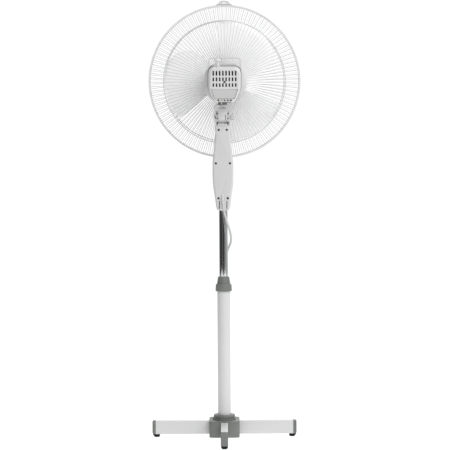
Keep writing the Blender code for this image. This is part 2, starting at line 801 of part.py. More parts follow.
def box_screws():
    seat = BOX_BACK + SCREW_SINK - GAP
    tip = seat - BOX_SEAM - SCREW_BITE
    profile = [(0, SCREW_HEAD_HEIGHT), (SCREW_HEAD_RADIUS * 0.8, SCREW_HEAD_HEIGHT), (SCREW_HEAD_RADIUS, 0),
               (SCREW_RADIUS, 0), (SCREW_RADIUS, tip), (0, tip)]
    for row, x, z in screw_places():
        paint(turned("box_screw_" + row, column, profile, 8, (x, seat, z), UPRIGHT), "steel")


def speed_keys():
    """Stop and three speeds, in a row across the front, with the switch behind them."""
    back = BOX_FRONT - KEY_DEPTH
    names = ("key_stop", "key_low", "key_medium", "key_high")
    half = KEY_WIDTH / 2
    key = block("key", column, (-half, back, -KEY_HEIGHT / 2), (half, BOX_FRONT + KEY_PROUD, KEY_HEIGHT / 2), KEY_EDGE)
    key = settle(key)
    paint(key, "grey_plastic")
    spread = [(i - (KEY_COUNT - 1) / 2) * KEY_PITCH for i in range(KEY_COUNT)]
    repeat(key, names, [((x, 0, KEY_LEVEL), 0) for x in spread])
    reach = KEY_COUNT * KEY_PITCH / 2 - 0.002
    front = back - KEY_TRAVEL - GAP
    paint(block("key_switch", column, (-reach, front - SWITCH_DEPTH, KEY_LEVEL - SWITCH_HALF),
                (reach, front, KEY_LEVEL + SWITCH_HALF)), "black_plastic")
    x, y, z = (side / 2 for side in CAPACITOR)
    paint(block("run_capacitor", column, (-x, -y, CAPACITOR_LEVEL - z), (x, y, CAPACITOR_LEVEL + z), 0.001),
          "black_plastic")


# ------------------------------------------------------------------ neck

def fork():
    """The plate in the box's top, and two round ears that hold the tilt bolt."""
    inner = NECK_HALF + FORK_GAP
    outer = inner + EAR_THICK
    base = BOX_TOP - FORK_PLATE
    plate = block("tilt_fork", column, (-outer, -FORK_DEPTH, base), (outer, FORK_DEPTH, BOX_TOP))
    ear = [(-FORK_DEPTH, base + 0.001), (FORK_DEPTH, base + 0.001)] + arc((0, TILT_LEVEL), FORK_DEPTH, 0, 180, 10)
    for side in (-1, 1):
        low, high = sorted((side * inner, side * outer))
        fuse(plate, prism(f"ear_{side}", column, [ear], low, high, SIDEWAYS))
    cut(plate, rod("fork_bore", column, TILT_BOLT_RADIUS + GAP, (-0.03, 0, TILT_LEVEL), 0.06, ALONG_X, 12))
    paint(plate, "grey_white_plastic")


def tilt_bolt():
    outer = NECK_HALF + FORK_GAP + EAR_THICK + GAP
    bolt = rod("tilt_bolt", column, TILT_HEAD_RADIUS, (-outer - TILT_HEAD_HEIGHT, 0, TILT_LEVEL),
               TILT_HEAD_HEIGHT, ALONG_X, 6)
    fuse(bolt, rod("tilt_shank", column, TILT_BOLT_RADIUS, (-outer - 0.001, 0, TILT_LEVEL),
                   2 * outer + KNOB_STEM + KNOB_WIDTH / 2, ALONG_X, 12))
    paint(bolt, "steel")
    length = KNOB_STEM + KNOB_WIDTH
    bore = TILT_BOLT_RADIUS + GAP
    depth = KNOB_STEM + KNOB_WIDTH / 2 + 0.0015
    profile = [(0, length), (KNOB_RADIUS - 0.001, length), (KNOB_RADIUS, length - 0.001), (KNOB_RADIUS, KNOB_STEM),
               (KNOB_STEM_RADIUS, KNOB_STEM), (KNOB_STEM_RADIUS, 0), (bore, 0), (bore, depth), (0, depth)]
    knob = turned("tilt_knob", column, profile, 20, (outer, 0, TILT_LEVEL), ALONG_X)
    paint(knob, "grey_white_plastic")


def neck_block():
    """The block between the fork's ears, with the pivot pin cast in and an arm for the drag link."""
    side = arc((0, 0), NECK_RADIUS, 180, 360, 12) + [(NECK_DEPTH, NECK_TOP), (-NECK_DEPTH, NECK_TOP)]
    neck = prism("neck_block", neck_frame, [side], -NECK_HALF, NECK_HALF, SIDEWAYS)
    fuse(neck, rod("neck_collar", neck_frame, NECK_COLLAR_RADIUS, (0, 0, NECK_TOP - 0.002),
                   NECK_COLLAR_TOP - NECK_TOP + 0.002, sides=20))
    x, y = ARM_POINT
    reach = math.hypot(x, y)
    turn = math.atan2(y, x)
    tip = arc((reach, 0), ARM_HALF, -90, 90, 5)
    arm = [(ARM_ROOT, -ARM_HALF), *tip, (ARM_ROOT, ARM_HALF)]
    arm = [(p * math.cos(turn) - q * math.sin(turn), p * math.sin(turn) + q * math.cos(turn)) for p, q in arm]
    fuse(neck, prism("neck_arm", neck_frame, [arm], NECK_COLLAR_TOP - ARM_THICK, NECK_COLLAR_TOP))
    top = NECK_COLLAR_TOP + GAP + LINK_THICK
    fuse(neck, rod("arm_pin", neck_frame, LINK_PIN_RADIUS, (x, y, NECK_COLLAR_TOP - 0.001),
                   top + GAP - NECK_COLLAR_TOP + 0.001, sides=10))
    fuse(neck, rod("pivot_pin", neck_frame, PIN_RADIUS, (0, 0, NECK_TOP), PIN_TOP - NECK_TOP, sides=16))
    cut(
        neck,
        rod("neck_bore", neck_frame, TILT_BOLT_RADIUS + GAP, (-0.03, 0, 0), 0.06, ALONG_X, 12),
    )
    paint(neck, "grey_white_plastic")


def crank_pin_place():
    """Where the crank's pin stands at rest, in the motor's frame."""
    return Vector(CRANK_AXIS) + CRANK_THROW * Vector((math.cos(CRANK_REST), math.sin(CRANK_REST)))


def drag_link():
    """The strap from the arm's pin to the crank's pin, in the neck's frame."""
    start = Vector(ARM_POINT)
    crank = crank_pin_place() + Vector((PIVOT_OFFSET, 0))
    along = crank - start
    turn = math.degrees(math.atan2(along.y, along.x))
    half = LINK_WIDTH / 2
    outline = arc(start, half, turn + 90, turn + 270, 6) + arc(crank, half, turn - 90, turn + 90, 6)
    hole = arc(start, LINK_PIN_RADIUS + GAP, 0, 324, 9)
    eye = arc(crank, CRANK_PIN_RADIUS + GAP, 0, 324, 9)
    low = NECK_COLLAR_TOP + GAP
    paint(prism("drag_link", neck_frame, [outline, hole, eye], low, low + LINK_THICK), "zinc")


# ------------------------------------------------------------------ motor

def end_bell(name, plate, toward):
    """A disc with a bearing pocket that stands out on one side, and the sintered bush in it."""
    pocket = BEARING_RADIUS + GAP
    floor = BELL_THICK - 0.0008
    lip = BEARING_LENGTH + BELL_THICK
    bore = SHAFT_RADIUS + 0.002
    profile = [(BELL_RADIUS, BELL_THICK), (BELL_RADIUS, 0), (bore, 0), (bore, floor), (pocket, floor),
               (pocket, lip), (pocket + 0.0025, lip), (pocket + 0.0025, BELL_THICK)]
    turn = ALONG_Y if toward > 0 else UPRIGHT
    bell = turned(name, motor, profile, 20, (0, plate, 0), turn)
    paint(bell, "aluminium")
    start = plate + toward * (floor + GAP)
    profile = [(BEARING_RADIUS, BEARING_LENGTH), (BEARING_RADIUS, 0), (SHAFT_RADIUS + GAP, 0),
               (SHAFT_RADIUS + GAP, BEARING_LENGTH)]
    bush = turned(name.replace("end_bell", "bearing"), motor, profile, 16, (0, start, 0), turn)
    paint(bush, "brass")
    return bell


def motor_core():
    back, front = STATOR_BACK, STATOR_BACK + STATOR_LENGTH
    stator = ring("motor_stator", motor, STATOR_RADIUS, STATOR_BORE, back, front, 24, rotation=ALONG_Y)
    coil_out, coil_in = STATOR_RADIUS - 0.004, STATOR_BORE + 0.002
    profile = [(coil_out, 0), (coil_out, -WINDING_LENGTH), (coil_in, -WINDING_LENGTH), (coil_in, 0)]
    winding = turned("stator_windings", motor, profile, 20, (0, back - GAP, 0), ALONG_Y)
    profile = [(coil_out, WINDING_LENGTH), (coil_out, 0), (coil_in, 0), (coil_in, WINDING_LENGTH)]
    fuse(winding, turned("front_winding", motor, profile, 20, (0, front + GAP, 0), ALONG_Y))
    middle = (coil_out + coil_in) / 2
    for i in range(COIL_BARS):
        turn = 2 * math.pi * i / COIL_BARS
        x, z = middle * math.cos(turn), middle * math.sin(turn)
        start, length = back - WINDING_LENGTH / 2, STATOR_LENGTH + WINDING_LENGTH
        fuse(winding, rod(f"coil_bar_{i}", motor, COIL_BAR_RADIUS, (x, start, z), length, ALONG_Y, 8))
        cut(stator, rod(f"coil_slot_{i}", motor, COIL_BAR_RADIUS + GAP, (x, start, z), length, ALONG_Y, 8))
    paint(stator, "lamination")
    paint(winding, "copper")
    end_bell("end_bell_front", front + 2 * GAP + WINDING_LENGTH, 1)
    rear_plate = back - 2 * GAP - WINDING_LENGTH
    rear = end_bell("end_bell_rear", rear_plate, -1)
    fuse(rear, gearbox(rear_plate))
    paint(rear, "aluminium")
    core = STATOR_BORE - ROTOR_GAP
    worm_front, worm_back = GEAR_AXIS[1] + WORM_LENGTH / 2, GEAR_AXIS[1] - WORM_LENGTH / 2
    profile = [
        (0, SHAFT_FRONT), (SHAFT_RADIUS, SHAFT_FRONT), (SHAFT_RADIUS, front), (core, front), (core, back),
        (SHAFT_RADIUS, back), (SHAFT_RADIUS, worm_front), (WORM_RADIUS, worm_front), (WORM_RADIUS, worm_back),
        (SHAFT_RADIUS, worm_back), (SHAFT_RADIUS, SHAFT_BACK), (0, SHAFT_BACK),
    ]
    paint(turned("rotor_shaft", motor, profile, 20, rotation=ALONG_Y), "steel")


def gearbox(rear_plate):
    """The open-bottomed box behind the rear bell, round the worm and the gears."""
    x0, y0, z0 = GEARBOX_LOW
    x1, y1, z1 = GEARBOX_HIGH
    wall = GEARBOX_WALL
    case = block("gearbox", motor, GEARBOX_LOW, GEARBOX_HIGH)
    post_foot = y0 + wall / 2
    fuse(case, rod("cover_post", motor, GEARBOX_POST, (0, post_foot, COVER_SCREW_LEVEL),
                   post_foot - COVER_BACK - COVER_WALL - GAP, UPRIGHT, 12))
    pocket_floor = rear_plate - BELL_THICK + 0.0007
    cut(
        case,
        block("gearbox_room", motor, (x0 + wall, y0 + wall, z0 - 0.01), (x1 - wall, y1 - wall, z1 - wall)),
        rod("gearbox_shaft_hole", motor, SHAFT_RADIUS + 0.002, (0, y1 + 0.01, 0), y1 - y0 - wall, UPRIGHT, 20),
        rod("gearbox_bearing_hole", motor, BEARING_RADIUS + GAP, (0, pocket_floor, 0), 0.01, UPRIGHT, 20),
        rod("gearbox_spindle_hole", motor, SPINDLE_RADIUS + GAP, (*GEAR_AXIS, z1 - 0.01), 0.03, sides=12),
        rod("cover_screw_bore", motor, SCREW_RADIUS + GAP, (0, y0 + 0.0015, COVER_SCREW_LEVEL), 0.04, UPRIGHT, 10),
    )
    return case


def gear_train():
    """The worm wheel on an upright spindle, the pinion below it, and the crank gear that it drives."""
    x, y = GEAR_AXIS
    wheel_radius = abs(x) - WORM_RADIUS - GAP
    half = WHEEL_THICK / 2
    bottom = CRANK_GEAR_LEVEL - 0.002
    profile = [
        (0, SPINDLE_TOP), (SPINDLE_RADIUS, SPINDLE_TOP), (SPINDLE_RADIUS, half), (wheel_radius, half),
        (wheel_radius, -half), (PINION_RADIUS, -half), (PINION_RADIUS, bottom), (0, bottom),
    ]
    paint(turned("worm_wheel", motor, profile, 24, (x, y, 0)), "nylon")
    apart = (Vector(CRANK_AXIS) - Vector(GEAR_AXIS)).length
    top = CRANK_GEAR_LEVEL + CRANK_GEAR_THICK
    profile = [(0, top), (apart - PINION_RADIUS - GAP, top), (apart - PINION_RADIUS - GAP, CRANK_GEAR_LEVEL),
               (0, CRANK_GEAR_LEVEL)]
    crank = turned("crank_gear", motor, profile, 24, (*CRANK_AXIS, 0))
    pin = crank_pin_place() - Vector(CRANK_AXIS)
    link_top = NECK_COLLAR_TOP + GAP + LINK_THICK - SHAFT_RISE
    fuse(crank, rod("crank_pin", motor, CRANK_PIN_RADIUS, (CRANK_AXIS[0] + pin.x, CRANK_AXIS[1] + pin.y, link_top + GAP),
                    CRANK_GEAR_LEVEL + 0.001 - link_top - GAP, sides=10))
    paint(crank, "nylon")


def motor_bracket():
    """The casting that hangs the motor on the pivot pin: a hub under a saddle that hugs the front bell."""
    bottom = NECK_COLLAR_TOP + GAP - SHAFT_RISE
    x0, x1, y0, y1 = BRACKET_PAD
    hub_top = -BELL_RADIUS
    hub = rod("motor_bracket", motor, BRACKET_RADIUS, (-PIVOT_OFFSET, 0, bottom), hub_top - bottom, sides=20)
    fuse(hub, block("bracket_pad", motor, (x0, y0, hub_top - 0.006), (x1, y1, hub_top + 0.006)))
    cut(
        hub,
        rod("bracket_saddle", motor, BELL_RADIUS + GAP, (0, y0 - 0.01, 0), y1 - y0 + 0.02, ALONG_Y, 40),
        rod("bracket_bore", motor, PIN_RADIUS + GAP, (-PIVOT_OFFSET, 0, bottom - 0.01), 0.06, sides=16),
    )
    paint(hub, "aluminium")


def cover_outline():
    """The rear cover seen from behind: round upper corners, straight flanks and a tapered foot."""
    right = [(COVER_FOOT_HALF - 0.003, COVER_FOOT), (COVER_FOOT_HALF, COVER_FOOT + 0.0008), COVER_HEEL,
             COVER_CHEEK, (COVER_HALF - 0.0006, COVER_WAIST)]
    right += arc((COVER_HALF - COVER_CORNER, COVER_TOP - COVER_CORNER), COVER_CORNER, 0, 90, 5)
    return right + [(-x, z) for x, z in reversed(right)]


def rear_cover():
    outline = cover_outline()
    seam = COVER_SEAM - GAP
    stations = [(outline, seam), (shrunk(outline, 0.001), COVER_BACK + 0.009),
                (shrunk(outline, 0.003), COVER_BACK + 0.003), (shrunk(outline, 0.0065), COVER_BACK)]
    shell = hollow("rear_cover", motor, stations, COVER_WALL, 0.005)
    behind, ahead = COVER_BACK - 0.01, COVER_BACK + 0.008
    for row, (level, height) in enumerate(SLOT_ROWS):
        for place in range(SLOT_COLUMNS):
            x = (place - (SLOT_COLUMNS - 1) / 2) * SLOT_PITCH
            cut(shell, block(f"slot_{row}_{place}", motor, (x - SLOT_WIDTH / 2, behind, level - height / 2),
                             (x + SLOT_WIDTH / 2, ahead, level + height / 2)))
    for i in range(VENT_COUNT):
        x = (i - (VENT_COUNT - 1) / 2) * VENT_PITCH
        cut(shell, rod(f"vent_{i}", motor, VENT_RADIUS, (x, behind, VENT_LEVEL), 0.02, ALONG_Y, 8))
    gx, gy = GEAR_AXIS
    cx, cy = CRANK_AXIS
    swing = CRANK_THROW + CRANK_PIN_RADIUS + 0.002
    cut(
        shell,
        rod("cover_screw_hole", motor, SCREW_RADIUS + GAP, (0, behind, COVER_SCREW_LEVEL), 0.02, ALONG_Y, 10),
        rod("pull_hole", motor, PULL_HOLE_RADIUS, (gx, gy, COVER_TOP - 0.01), 0.03, sides=16),
        block("cover_mouth", motor, (cx - swing, behind, COVER_FOOT - 0.01),
              (cx + swing, cy + swing, COVER_FOOT + COVER_WALL + 0.0015)),
    )
    paint(shell, "grey_white_plastic")
    screw = turned("cover_screw", motor, [
        (0, COVER_SCREW_HEAD), (SCREW_HEAD_RADIUS * 0.8, COVER_SCREW_HEAD), (SCREW_HEAD_RADIUS, 0), (SCREW_RADIUS, 0),
        (SCREW_RADIUS, -COVER_SCREW_LENGTH), (0, -COVER_SCREW_LENGTH)], 12,
        (0, COVER_BACK - GAP, COVER_SCREW_LEVEL), UPRIGHT)
    paint(screw, "steel")


def handle_line(half, top, corner, foot):
    """The handle's line from its right foot, over the top, to its left foot."""
    return ([(half, foot)] + arc((half - corner, top - corner), corner, 0, 90, 3)
            + arc((corner - half, top - corner), corner, 90, 180, 3) + [(-half, foot)])


def front_housing():
    """A shell that grows from the cover's outline to a round flange, with a boss for the guard nut."""
    start = cover_outline()

    def circle(radius):
        return [(radius * math.cos(turn), radius * math.sin(turn)) for turn in (math.atan2(z, x) for x, z in start)]

    bore = BOSS_RADIUS - COVER_WALL
    wall_start = inset(start, COVER_WALL)
    outer = [(start, COVER_SEAM), (start, COVER_SEAM + 0.018), (circle(FLANGE_RADIUS), FLANGE_BACK),
             (circle(FLANGE_RADIUS), HOUSING_FRONT - 0.003), (circle(FLANGE_RADIUS - 0.003), HOUSING_FRONT),
             (circle(BOSS_RADIUS), HOUSING_FRONT), (circle(BOSS_RADIUS), BOSS_FRONT)]
    room = FLANGE_RADIUS - COVER_WALL
    inner = [(wall_start, COVER_SEAM - 0.005), (wall_start, COVER_SEAM + 0.018), (circle(room), FLANGE_BACK + 0.001),
             (circle(room), HOUSING_FRONT - COVER_WALL), (circle(bore), HOUSING_FRONT - COVER_WALL),
             (circle(bore), BOSS_FRONT + 0.005)]
    shell = loft("front_housing", motor, [at_depth(outline, y) for outline, y in outer])
    foot = COVER_TOP - COVER_CORNER - 0.003
    thick = HANDLE_THICK
    line = handle_line(HANDLE_HALF, HANDLE_TOP, HANDLE_CORNER, foot)
    under = handle_line(HANDLE_HALF - thick, HANDLE_TOP - thick, HANDLE_CORNER - thick, foot)
    fuse(shell, prism("carry_handle", motor, [line + under[::-1]], HANDLE_BACK, HANDLE_BACK + HANDLE_DEPTH, UPRIGHT))
    cut(shell, loft("housing_room", motor, [at_depth(outline, y) for outline, y in inner]))
    x0, x1, _, y1 = BRACKET_PAD
    cut(shell, block("housing_mouth", motor, (x0 - 0.002, COVER_SEAM - 0.01, -FLANGE_RADIUS - 0.01),
                     (x1 + 0.002, y1 + 0.0025, -BELL_RADIUS)))
    paint(shell, "grey_white_plastic")


def oscillation_knob():
    x, y = GEAR_AXIS
    profile = [
        (0, PULL_CAP_TOP), (PULL_CAP_RADIUS - 0.002, PULL_CAP_TOP), (PULL_CAP_RADIUS, PULL_CAP_TOP - 0.0015),
        (PULL_CAP_RADIUS, PULL_CAP_LEVEL), (PULL_STEM_RADIUS, PULL_CAP_LEVEL), (PULL_STEM_RADIUS, PULL_STEM_BOTTOM),
        (0, PULL_STEM_BOTTOM),
    ]
    paint(turned("oscillation_knob", motor, profile, 20, (x, y, 0)), "grey_white_plastic")


# ------------------------------------------------------------------ guard and impeller

def wire_dish(name, levels):
    """A dish of radial bars joined by hoops. Each level is (radius, y, whether a hoop starts there)."""
    work = bmesh.new()
    rows = []
    for radius, y, _ in levels:
        row = []
        for i in range(WIRE_COUNT):
            for side in (-1, 1):
                turn = 2 * math.pi * i / WIRE_COUNT + side * WIRE_WIDTH / 2 / radius
                row.append(work.verts.new((radius * math.cos(turn), y, radius * math.sin(turn))))
        rows.append(row)
    count = 2 * WIRE_COUNT
    for near, far, level in zip(rows, rows[1:], levels):
        for i in range(0, count, 2):
            work.faces.new((near[i], near[i + 1], far[i + 1], far[i]))
            if level[2]:
                j = (i + 2) % count
                work.faces.new((near[i + 1], near[j], far[j], far[i + 1]))
    bmesh.ops.recalc_face_normals(work, faces=work.faces)
    mesh = bpy.data.meshes.new(name)
    work.to_mesh(mesh)
    work.free()
    dish = link(name, mesh, motor)
    thicken(dish, WIRE_THICK, 0)
    paint(dish, "white_wire")


def guards():
    rim = GUARD_RADIUS - RIM_THICK - 2 * GAP
    hoop = HOOP_WIDTH
    mid = MID_HOOP - hoop / 2
    wire_dish("rear_guard", (
        (REAR_PLATE_RADIUS, REAR_CENTRE_LEVEL, True), (REAR_HUB_HOOP, REAR_CENTRE_LEVEL, False),
        (mid, REAR_MID_LEVEL, True), (mid + hoop, REAR_MID_LEVEL, False),
        (rim - hoop, REAR_RIM_LEVEL, True), (rim, REAR_RIM_LEVEL, False)))
    wire_dish("front_guard", (
        (FRONT_HUB_HOOP, FRONT_CENTRE_LEVEL, True), (FRONT_HUB_HOOP + hoop, FRONT_CENTRE_LEVEL, False),
        (mid, FRONT_MID_LEVEL, True), (mid + hoop, FRONT_MID_LEVEL, False),
        (rim - hoop, FRONT_RIM_LEVEL, True), (rim, FRONT_RIM_LEVEL, False)))
    start = REAR_CENTRE_LEVEL + WIRE_THICK / 2 + GAP
    profile = [(GUARD_NUT_RADIUS, GUARD_NUT_LENGTH), (GUARD_NUT_RADIUS, 0), (BOSS_RADIUS + GAP, 0),
               (BOSS_RADIUS + GAP, GUARD_NUT_LENGTH)]
    paint(turned("guard_nut", motor, profile, 24, (0, start, 0), ALONG_Y), "grey_plastic")
    face = FRONT_CENTRE_LEVEL + WIRE_THICK / 2 + GAP
    profile = [(0, BADGE_THICK), (BADGE_RADIUS - 0.003, BADGE_THICK), (BADGE_RADIUS, BADGE_THICK / 2),
               (BADGE_RADIUS, 0), (0, 0)]
    paint(turned("centre_badge", motor, profile, 32, (0, face, 0), ALONG_Y), "grey_plastic")


def rim_ring():
    """The channel that clamps both guards' rims, split at the bottom between two lugs."""
    inner = GUARD_RADIUS - RIM_THICK
    lip = inner - RIM_LIP
    low, high = RIM_CENTRE - RIM_WIDTH / 2, RIM_CENTRE + RIM_WIDTH / 2
    profile = [(GUARD_RADIUS, high), (GUARD_RADIUS, low), (lip, low), (lip, low + RIM_LIP_THICK),
               (inner, low + RIM_LIP_THICK), (inner, high - RIM_LIP_THICK), (lip, high - RIM_LIP_THICK), (lip, high)]
    band = turned("rim_ring", motor, profile, WIRE_COUNT, rotation=ALONG_Y)
    x, y, z = LUG_SIZE
    fuse(band, block("rim_lug", motor, (-x / 2, RIM_CENTRE - y / 2, -GUARD_RADIUS - z),
                     (x / 2, RIM_CENTRE + y / 2, -GUARD_RADIUS + RIM_THICK / 2)))
    level = -GUARD_RADIUS - LUG_SCREW_DEPTH
    half = RIM_SPLIT / 2
    cut(
        band,
        block("rim_split", motor, (-half, RIM_CENTRE - RIM_WIDTH, -GUARD_RADIUS - z - 0.01),
              (half, RIM_CENTRE + RIM_WIDTH, -lip + 0.01)),
        rod("lug_bore", motor, RIM_SCREW_RADIUS + GAP, (-x, RIM_CENTRE, level), 2 * x, ALONG_X, 10),
    )
    paint(band, "white_wire")
    start = -x / 2 - GAP
    wide, head = RIM_SCREW_HEAD
    screw = rod("rim_screw", motor, wide, (start - head, RIM_CENTRE, level), head, ALONG_X, 10)
    fuse(screw, rod("rim_screw_shank", motor, RIM_SCREW_RADIUS, (start - head / 2, RIM_CENTRE, level),
                    x + head / 2 + 0.003, ALONG_X, 10))
    paint(screw, "steel")


def rim_clip():
    """The clip that sits astride the top of the rim, with a window under its bridge."""
    start = math.degrees(math.acos(CLIP_HALF / GUARD_RADIUS))
    base = arc((0, 0), GUARD_RADIUS + GAP, start, 180 - start, 8)
    top = GUARD_RADIUS + CLIP_HEIGHT
    outline = base + [(-CLIP_HALF + 0.006, GUARD_RADIUS + 0.0025), (-CLIP_TOP_HALF - 0.002, top - 0.001),
                      (-CLIP_TOP_HALF, top), (CLIP_TOP_HALF, top), (CLIP_TOP_HALF + 0.002, top - 0.001),
                      (CLIP_HALF - 0.006, GUARD_RADIUS + 0.0025)]
    half, height = CLIP_WINDOW
    low = GUARD_RADIUS + 0.0035
    window = [(-half, low), (half, low), (half * 0.8, low + height), (-half * 0.8, low + height)]
    near, far = RIM_CENTRE - CLIP_WIDTH / 2, RIM_CENTRE + CLIP_WIDTH / 2
    paint(prism("rim_clip", motor, [outline, window], near, far, UPRIGHT), "grey_white_plastic")


def blade_sheet():
    """One blade's middle surface: rows from root to tip, columns from the leading to the trailing edge."""
    work = bmesh.new()
    columns = 5
    rows = []
    for radius, lead, trail in BLADE_STATIONS:
        row = []
        for i in range(columns + 1):
            s = i / columns
            turn = math.radians(lead + (trail - lead) * s)
            y = BLADE_LEAD + BLADE_RISE * (s + 0.10 * math.sin(math.pi * s))
            row.append(work.verts.new((radius * math.cos(turn), y, radius * math.sin(turn))))
        rows.append(row)
    for near, far in zip(rows, rows[1:]):
        for i in range(columns):
            work.faces.new((near[i], near[i + 1], far[i + 1], far[i]))
    mesh = bpy.data.meshes.new("blade")
    work.to_mesh(mesh)
    work.free()
    return mesh


def impeller():
    bore = SHAFT_RADIUS + GAP
    skirt = BLADE_HUB_RADIUS - BLADE_HUB_WALL
    roof = BLADE_HUB_FRONT - BLADE_HUB_WALL
    profile = [
        (BLADE_HUB_RADIUS - 0.003, BLADE_HUB_FRONT), (BLADE_HUB_RADIUS, BLADE_HUB_FRONT - 0.003),
        (BLADE_HUB_RADIUS, BLADE_HUB_BACK), (skirt, BLADE_HUB_BACK), (skirt, roof), (BLADE_HUB_BUSH, roof),
        (BLADE_HUB_BUSH, BLADE_HUB_BACK + 0.004), (bore, BLADE_HUB_BACK + 0.004), (bore, BLADE_HUB_FRONT),
    ]
    hub = turned("impeller", motor, profile, 32, rotation=ALONG_Y)
    hub = settle(hub)
    for i in range(BLADE_COUNT):
        blade = link(f"blade_{i}", blade_sheet(), motor)
        blade.data.transform(Matrix.Rotation(2 * math.pi * i / BLADE_COUNT, 4, "Y"))
        thicken(blade, BLADE_THICK, 0)
        fuse(hub, settle(blade))
    paint(hub, "blade_plastic")
    start = BLADE_HUB_FRONT + GAP
    room = SHAFT_FRONT - BLADE_HUB_FRONT
    profile = [(0, SPINNER_LENGTH), (SPINNER_RADIUS * 0.5, SPINNER_LENGTH * 0.92),
               (SPINNER_RADIUS * 0.85, SPINNER_LENGTH * 0.6), (SPINNER_RADIUS, 0), (bore, 0), (bore, room), (0, room)]
    paint(turned("blade_nut", motor, profile, 24, (0, start, 0), ALONG_Y), "grey_plastic")


# ------------------------------------------------------------------ cord

def boot_shape(name, extra=0.0, longer=0.0):
    """The strain relief's cone between its two ends, or the room that it needs."""
    top, end = Vector(BOOT_TOP), Vector(BOOT_END)
    along = end - top
    start = top - along.normalized() * longer
    turn = along.to_track_quat("Z", "Y").to_euler()
    return rod(name, column, BOOT_RADIUS[0] + extra, start, along.length + 2 * longer, turn, 12,
               BOOT_RADIUS[1] + extra)


def cord_gland():
    paint(boot_shape("cord_gland"), "grey_white_plastic")


def cord():
    """The hanging and lying stretch of the mains cord, its stored coil, and its plug."""
    radius = CORD_DIAMETER / 2
    top, end = Vector(BOOT_TOP), Vector(BOOT_END)
    ahead = (end - top).normalized()
    cx, cy = COIL_CENTRE
    beside = COIL_RADIUS + COIL_HALF + radius + 2 * GAP
    rest = radius + 0.0002
    route = [
        end + ahead * GAP, end + ahead * 0.014, (0.0062, -0.0400, 0.6280), (0.0140, -0.0330, 0.6020),
        (0.0205, -0.0190, 0.5790), (0.0215, -0.0010, 0.5560), (0.0130, 0.0190, 0.5330), (0.0045, 0.0320, 0.5050),
        (0.0020, 0.0375, 0.4600), (0.0020, 0.0380, 0.3800), (0.0030, 0.0380, 0.2800), (0.0040, 0.0385, 0.1800),
        (0.0060, 0.0410, 0.1200), (0.0100, 0.0460, 0.0800), (0.0170, 0.0530, 0.0540), (0.0260, 0.0580, 0.0330),
        (0.0380, 0.0625, 0.0170), (0.0540, 0.0664, 0.0075), (0.0730, 0.0685, 0.0036),
    ]
    route += [(x, y, rest) for x, y in arc(COIL_CENTRE, beside, 270, 390, 8)]
    curve = bpy.data.curves.new("cord_tube", "CURVE")
    curve.dimensions = "3D"
    curve.bevel_depth = radius
    curve.bevel_resolution = 2
    curve.use_fill_caps = True
    read = through(route, 2.8 * CORD_DIAMETER)
    spline = curve.splines.new("POLY")
    spline.points.add(len(read) - 1)
    for point, place in zip(spline.points, read):
        point.co = (*place, 1)
    curve.materials.append(looks["white_cord"])
    link("cord_tube", curve, column)
    outer, inner = COIL_RADIUS + COIL_HALF, COIL_RADIUS - COIL_HALF
    paint(ring("cord_coil", column, outer, inner, 0, COIL_HEIGHT, 24, (cx, cy, 0)), "white_cord")
    x, y = PLUG_PLACE
    profile = [(0, PLUG_LENGTH), (PLUG_RADIUS, PLUG_LENGTH), (PLUG_RADIUS, PLUG_LENGTH * 0.55), (0.0055, 0.002),
               (0.0045, 0), (0, 0)]
    plug = turned("mains_plug", column, profile, 16, (x, y, PLUG_RADIUS), ALONG_X)
    for side in (-1, 1):
        place = (x + PLUG_LENGTH - 0.001, y + side * PLUG_PIN_PITCH / 2, PLUG_RADIUS)
        fuse(plug, rod(f"plug_pin_{side}", column, PLUG_PIN_RADIUS, place, PLUG_PIN_LENGTH + 0.001, ALONG_X, 8))
    paint(plug, "white_cord")


# ------------------------------------------------------------------ assembly

clear_scene()
parts = collection("pedestal_fan")
tools = collection("cutters")
looks = {
    "white_paint": material("white_paint", (0.80, 0.80, 0.80), 0.35),
    "white_wire": material("white_wire", (0.80, 0.80, 0.80), 0.40),
    "grey_white_plastic": material("grey_white_plastic", (0.66, 0.66, 0.65), 0.40),
    "grey_plastic": material("grey_plastic", (0.20, 0.21, 0.21), 0.45),
    "blade_plastic": material("blade_plastic", (0.72, 0.72, 0.72), 0.30),
    "black_plastic": material("black_plastic", (0.02, 0.02, 0.02), 0.45),
    "black_rubber": material("black_rubber", (0.015, 0.015, 0.015), 0.70),
    "chrome": material("chrome", (0.80, 0.80, 0.80), 0.08, 1.0),
    "steel": material("steel", (0.55, 0.55, 0.55), 0.35, 1.0),
    "zinc": material("zinc", (0.62, 0.62, 0.60), 0.40, 1.0),
    "aluminium": material("aluminium", (0.60, 0.60, 0.60), 0.50, 1.0),
    "lamination": material("lamination", (0.25, 0.25, 0.26), 0.50, 1.0),
    "brass": material("brass", (0.55, 0.42, 0.22), 0.45, 1.0),
    "copper": material("copper", (0.55, 0.25, 0.12), 0.40, 1.0),
    "nylon": material("nylon", (0.75, 0.73, 0.68), 0.45),
    "white_cord": material("white_cord", (0.78, 0.78, 0.76), 0.45),
}
column = empty("column", location=(-PIVOT_OFFSET, 0, 0))
neck_frame = empty("neck_frame", column, (0, 0, TILT_LEVEL), (HEAD_LEAN, 0, 0))
motor = empty("motor_frame", neck_frame, (PIVOT_OFFSET, 0, SHAFT_RISE))

box_tube("leg_lateral", True)
box_tube("leg_fore_aft", False)
leg_feet()
hub_cover()
hub_ring()
base_bolt()
pole()
collet_sleeve()
clamp_nut()
inner_tube()
control_box_back()
control_box_front()
box_screws()
speed_keys()
fork()
tilt_bolt()
neck_block()
drag_link()
motor_core()
gear_train()
motor_bracket()
rear_cover()
front_housing()
oscillation_knob()
guards()
rim_ring()
rim_clip()
impeller()
cord_gland()
cord()
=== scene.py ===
import math

import bmesh
import bpy
from mathutils import Matrix, Vector


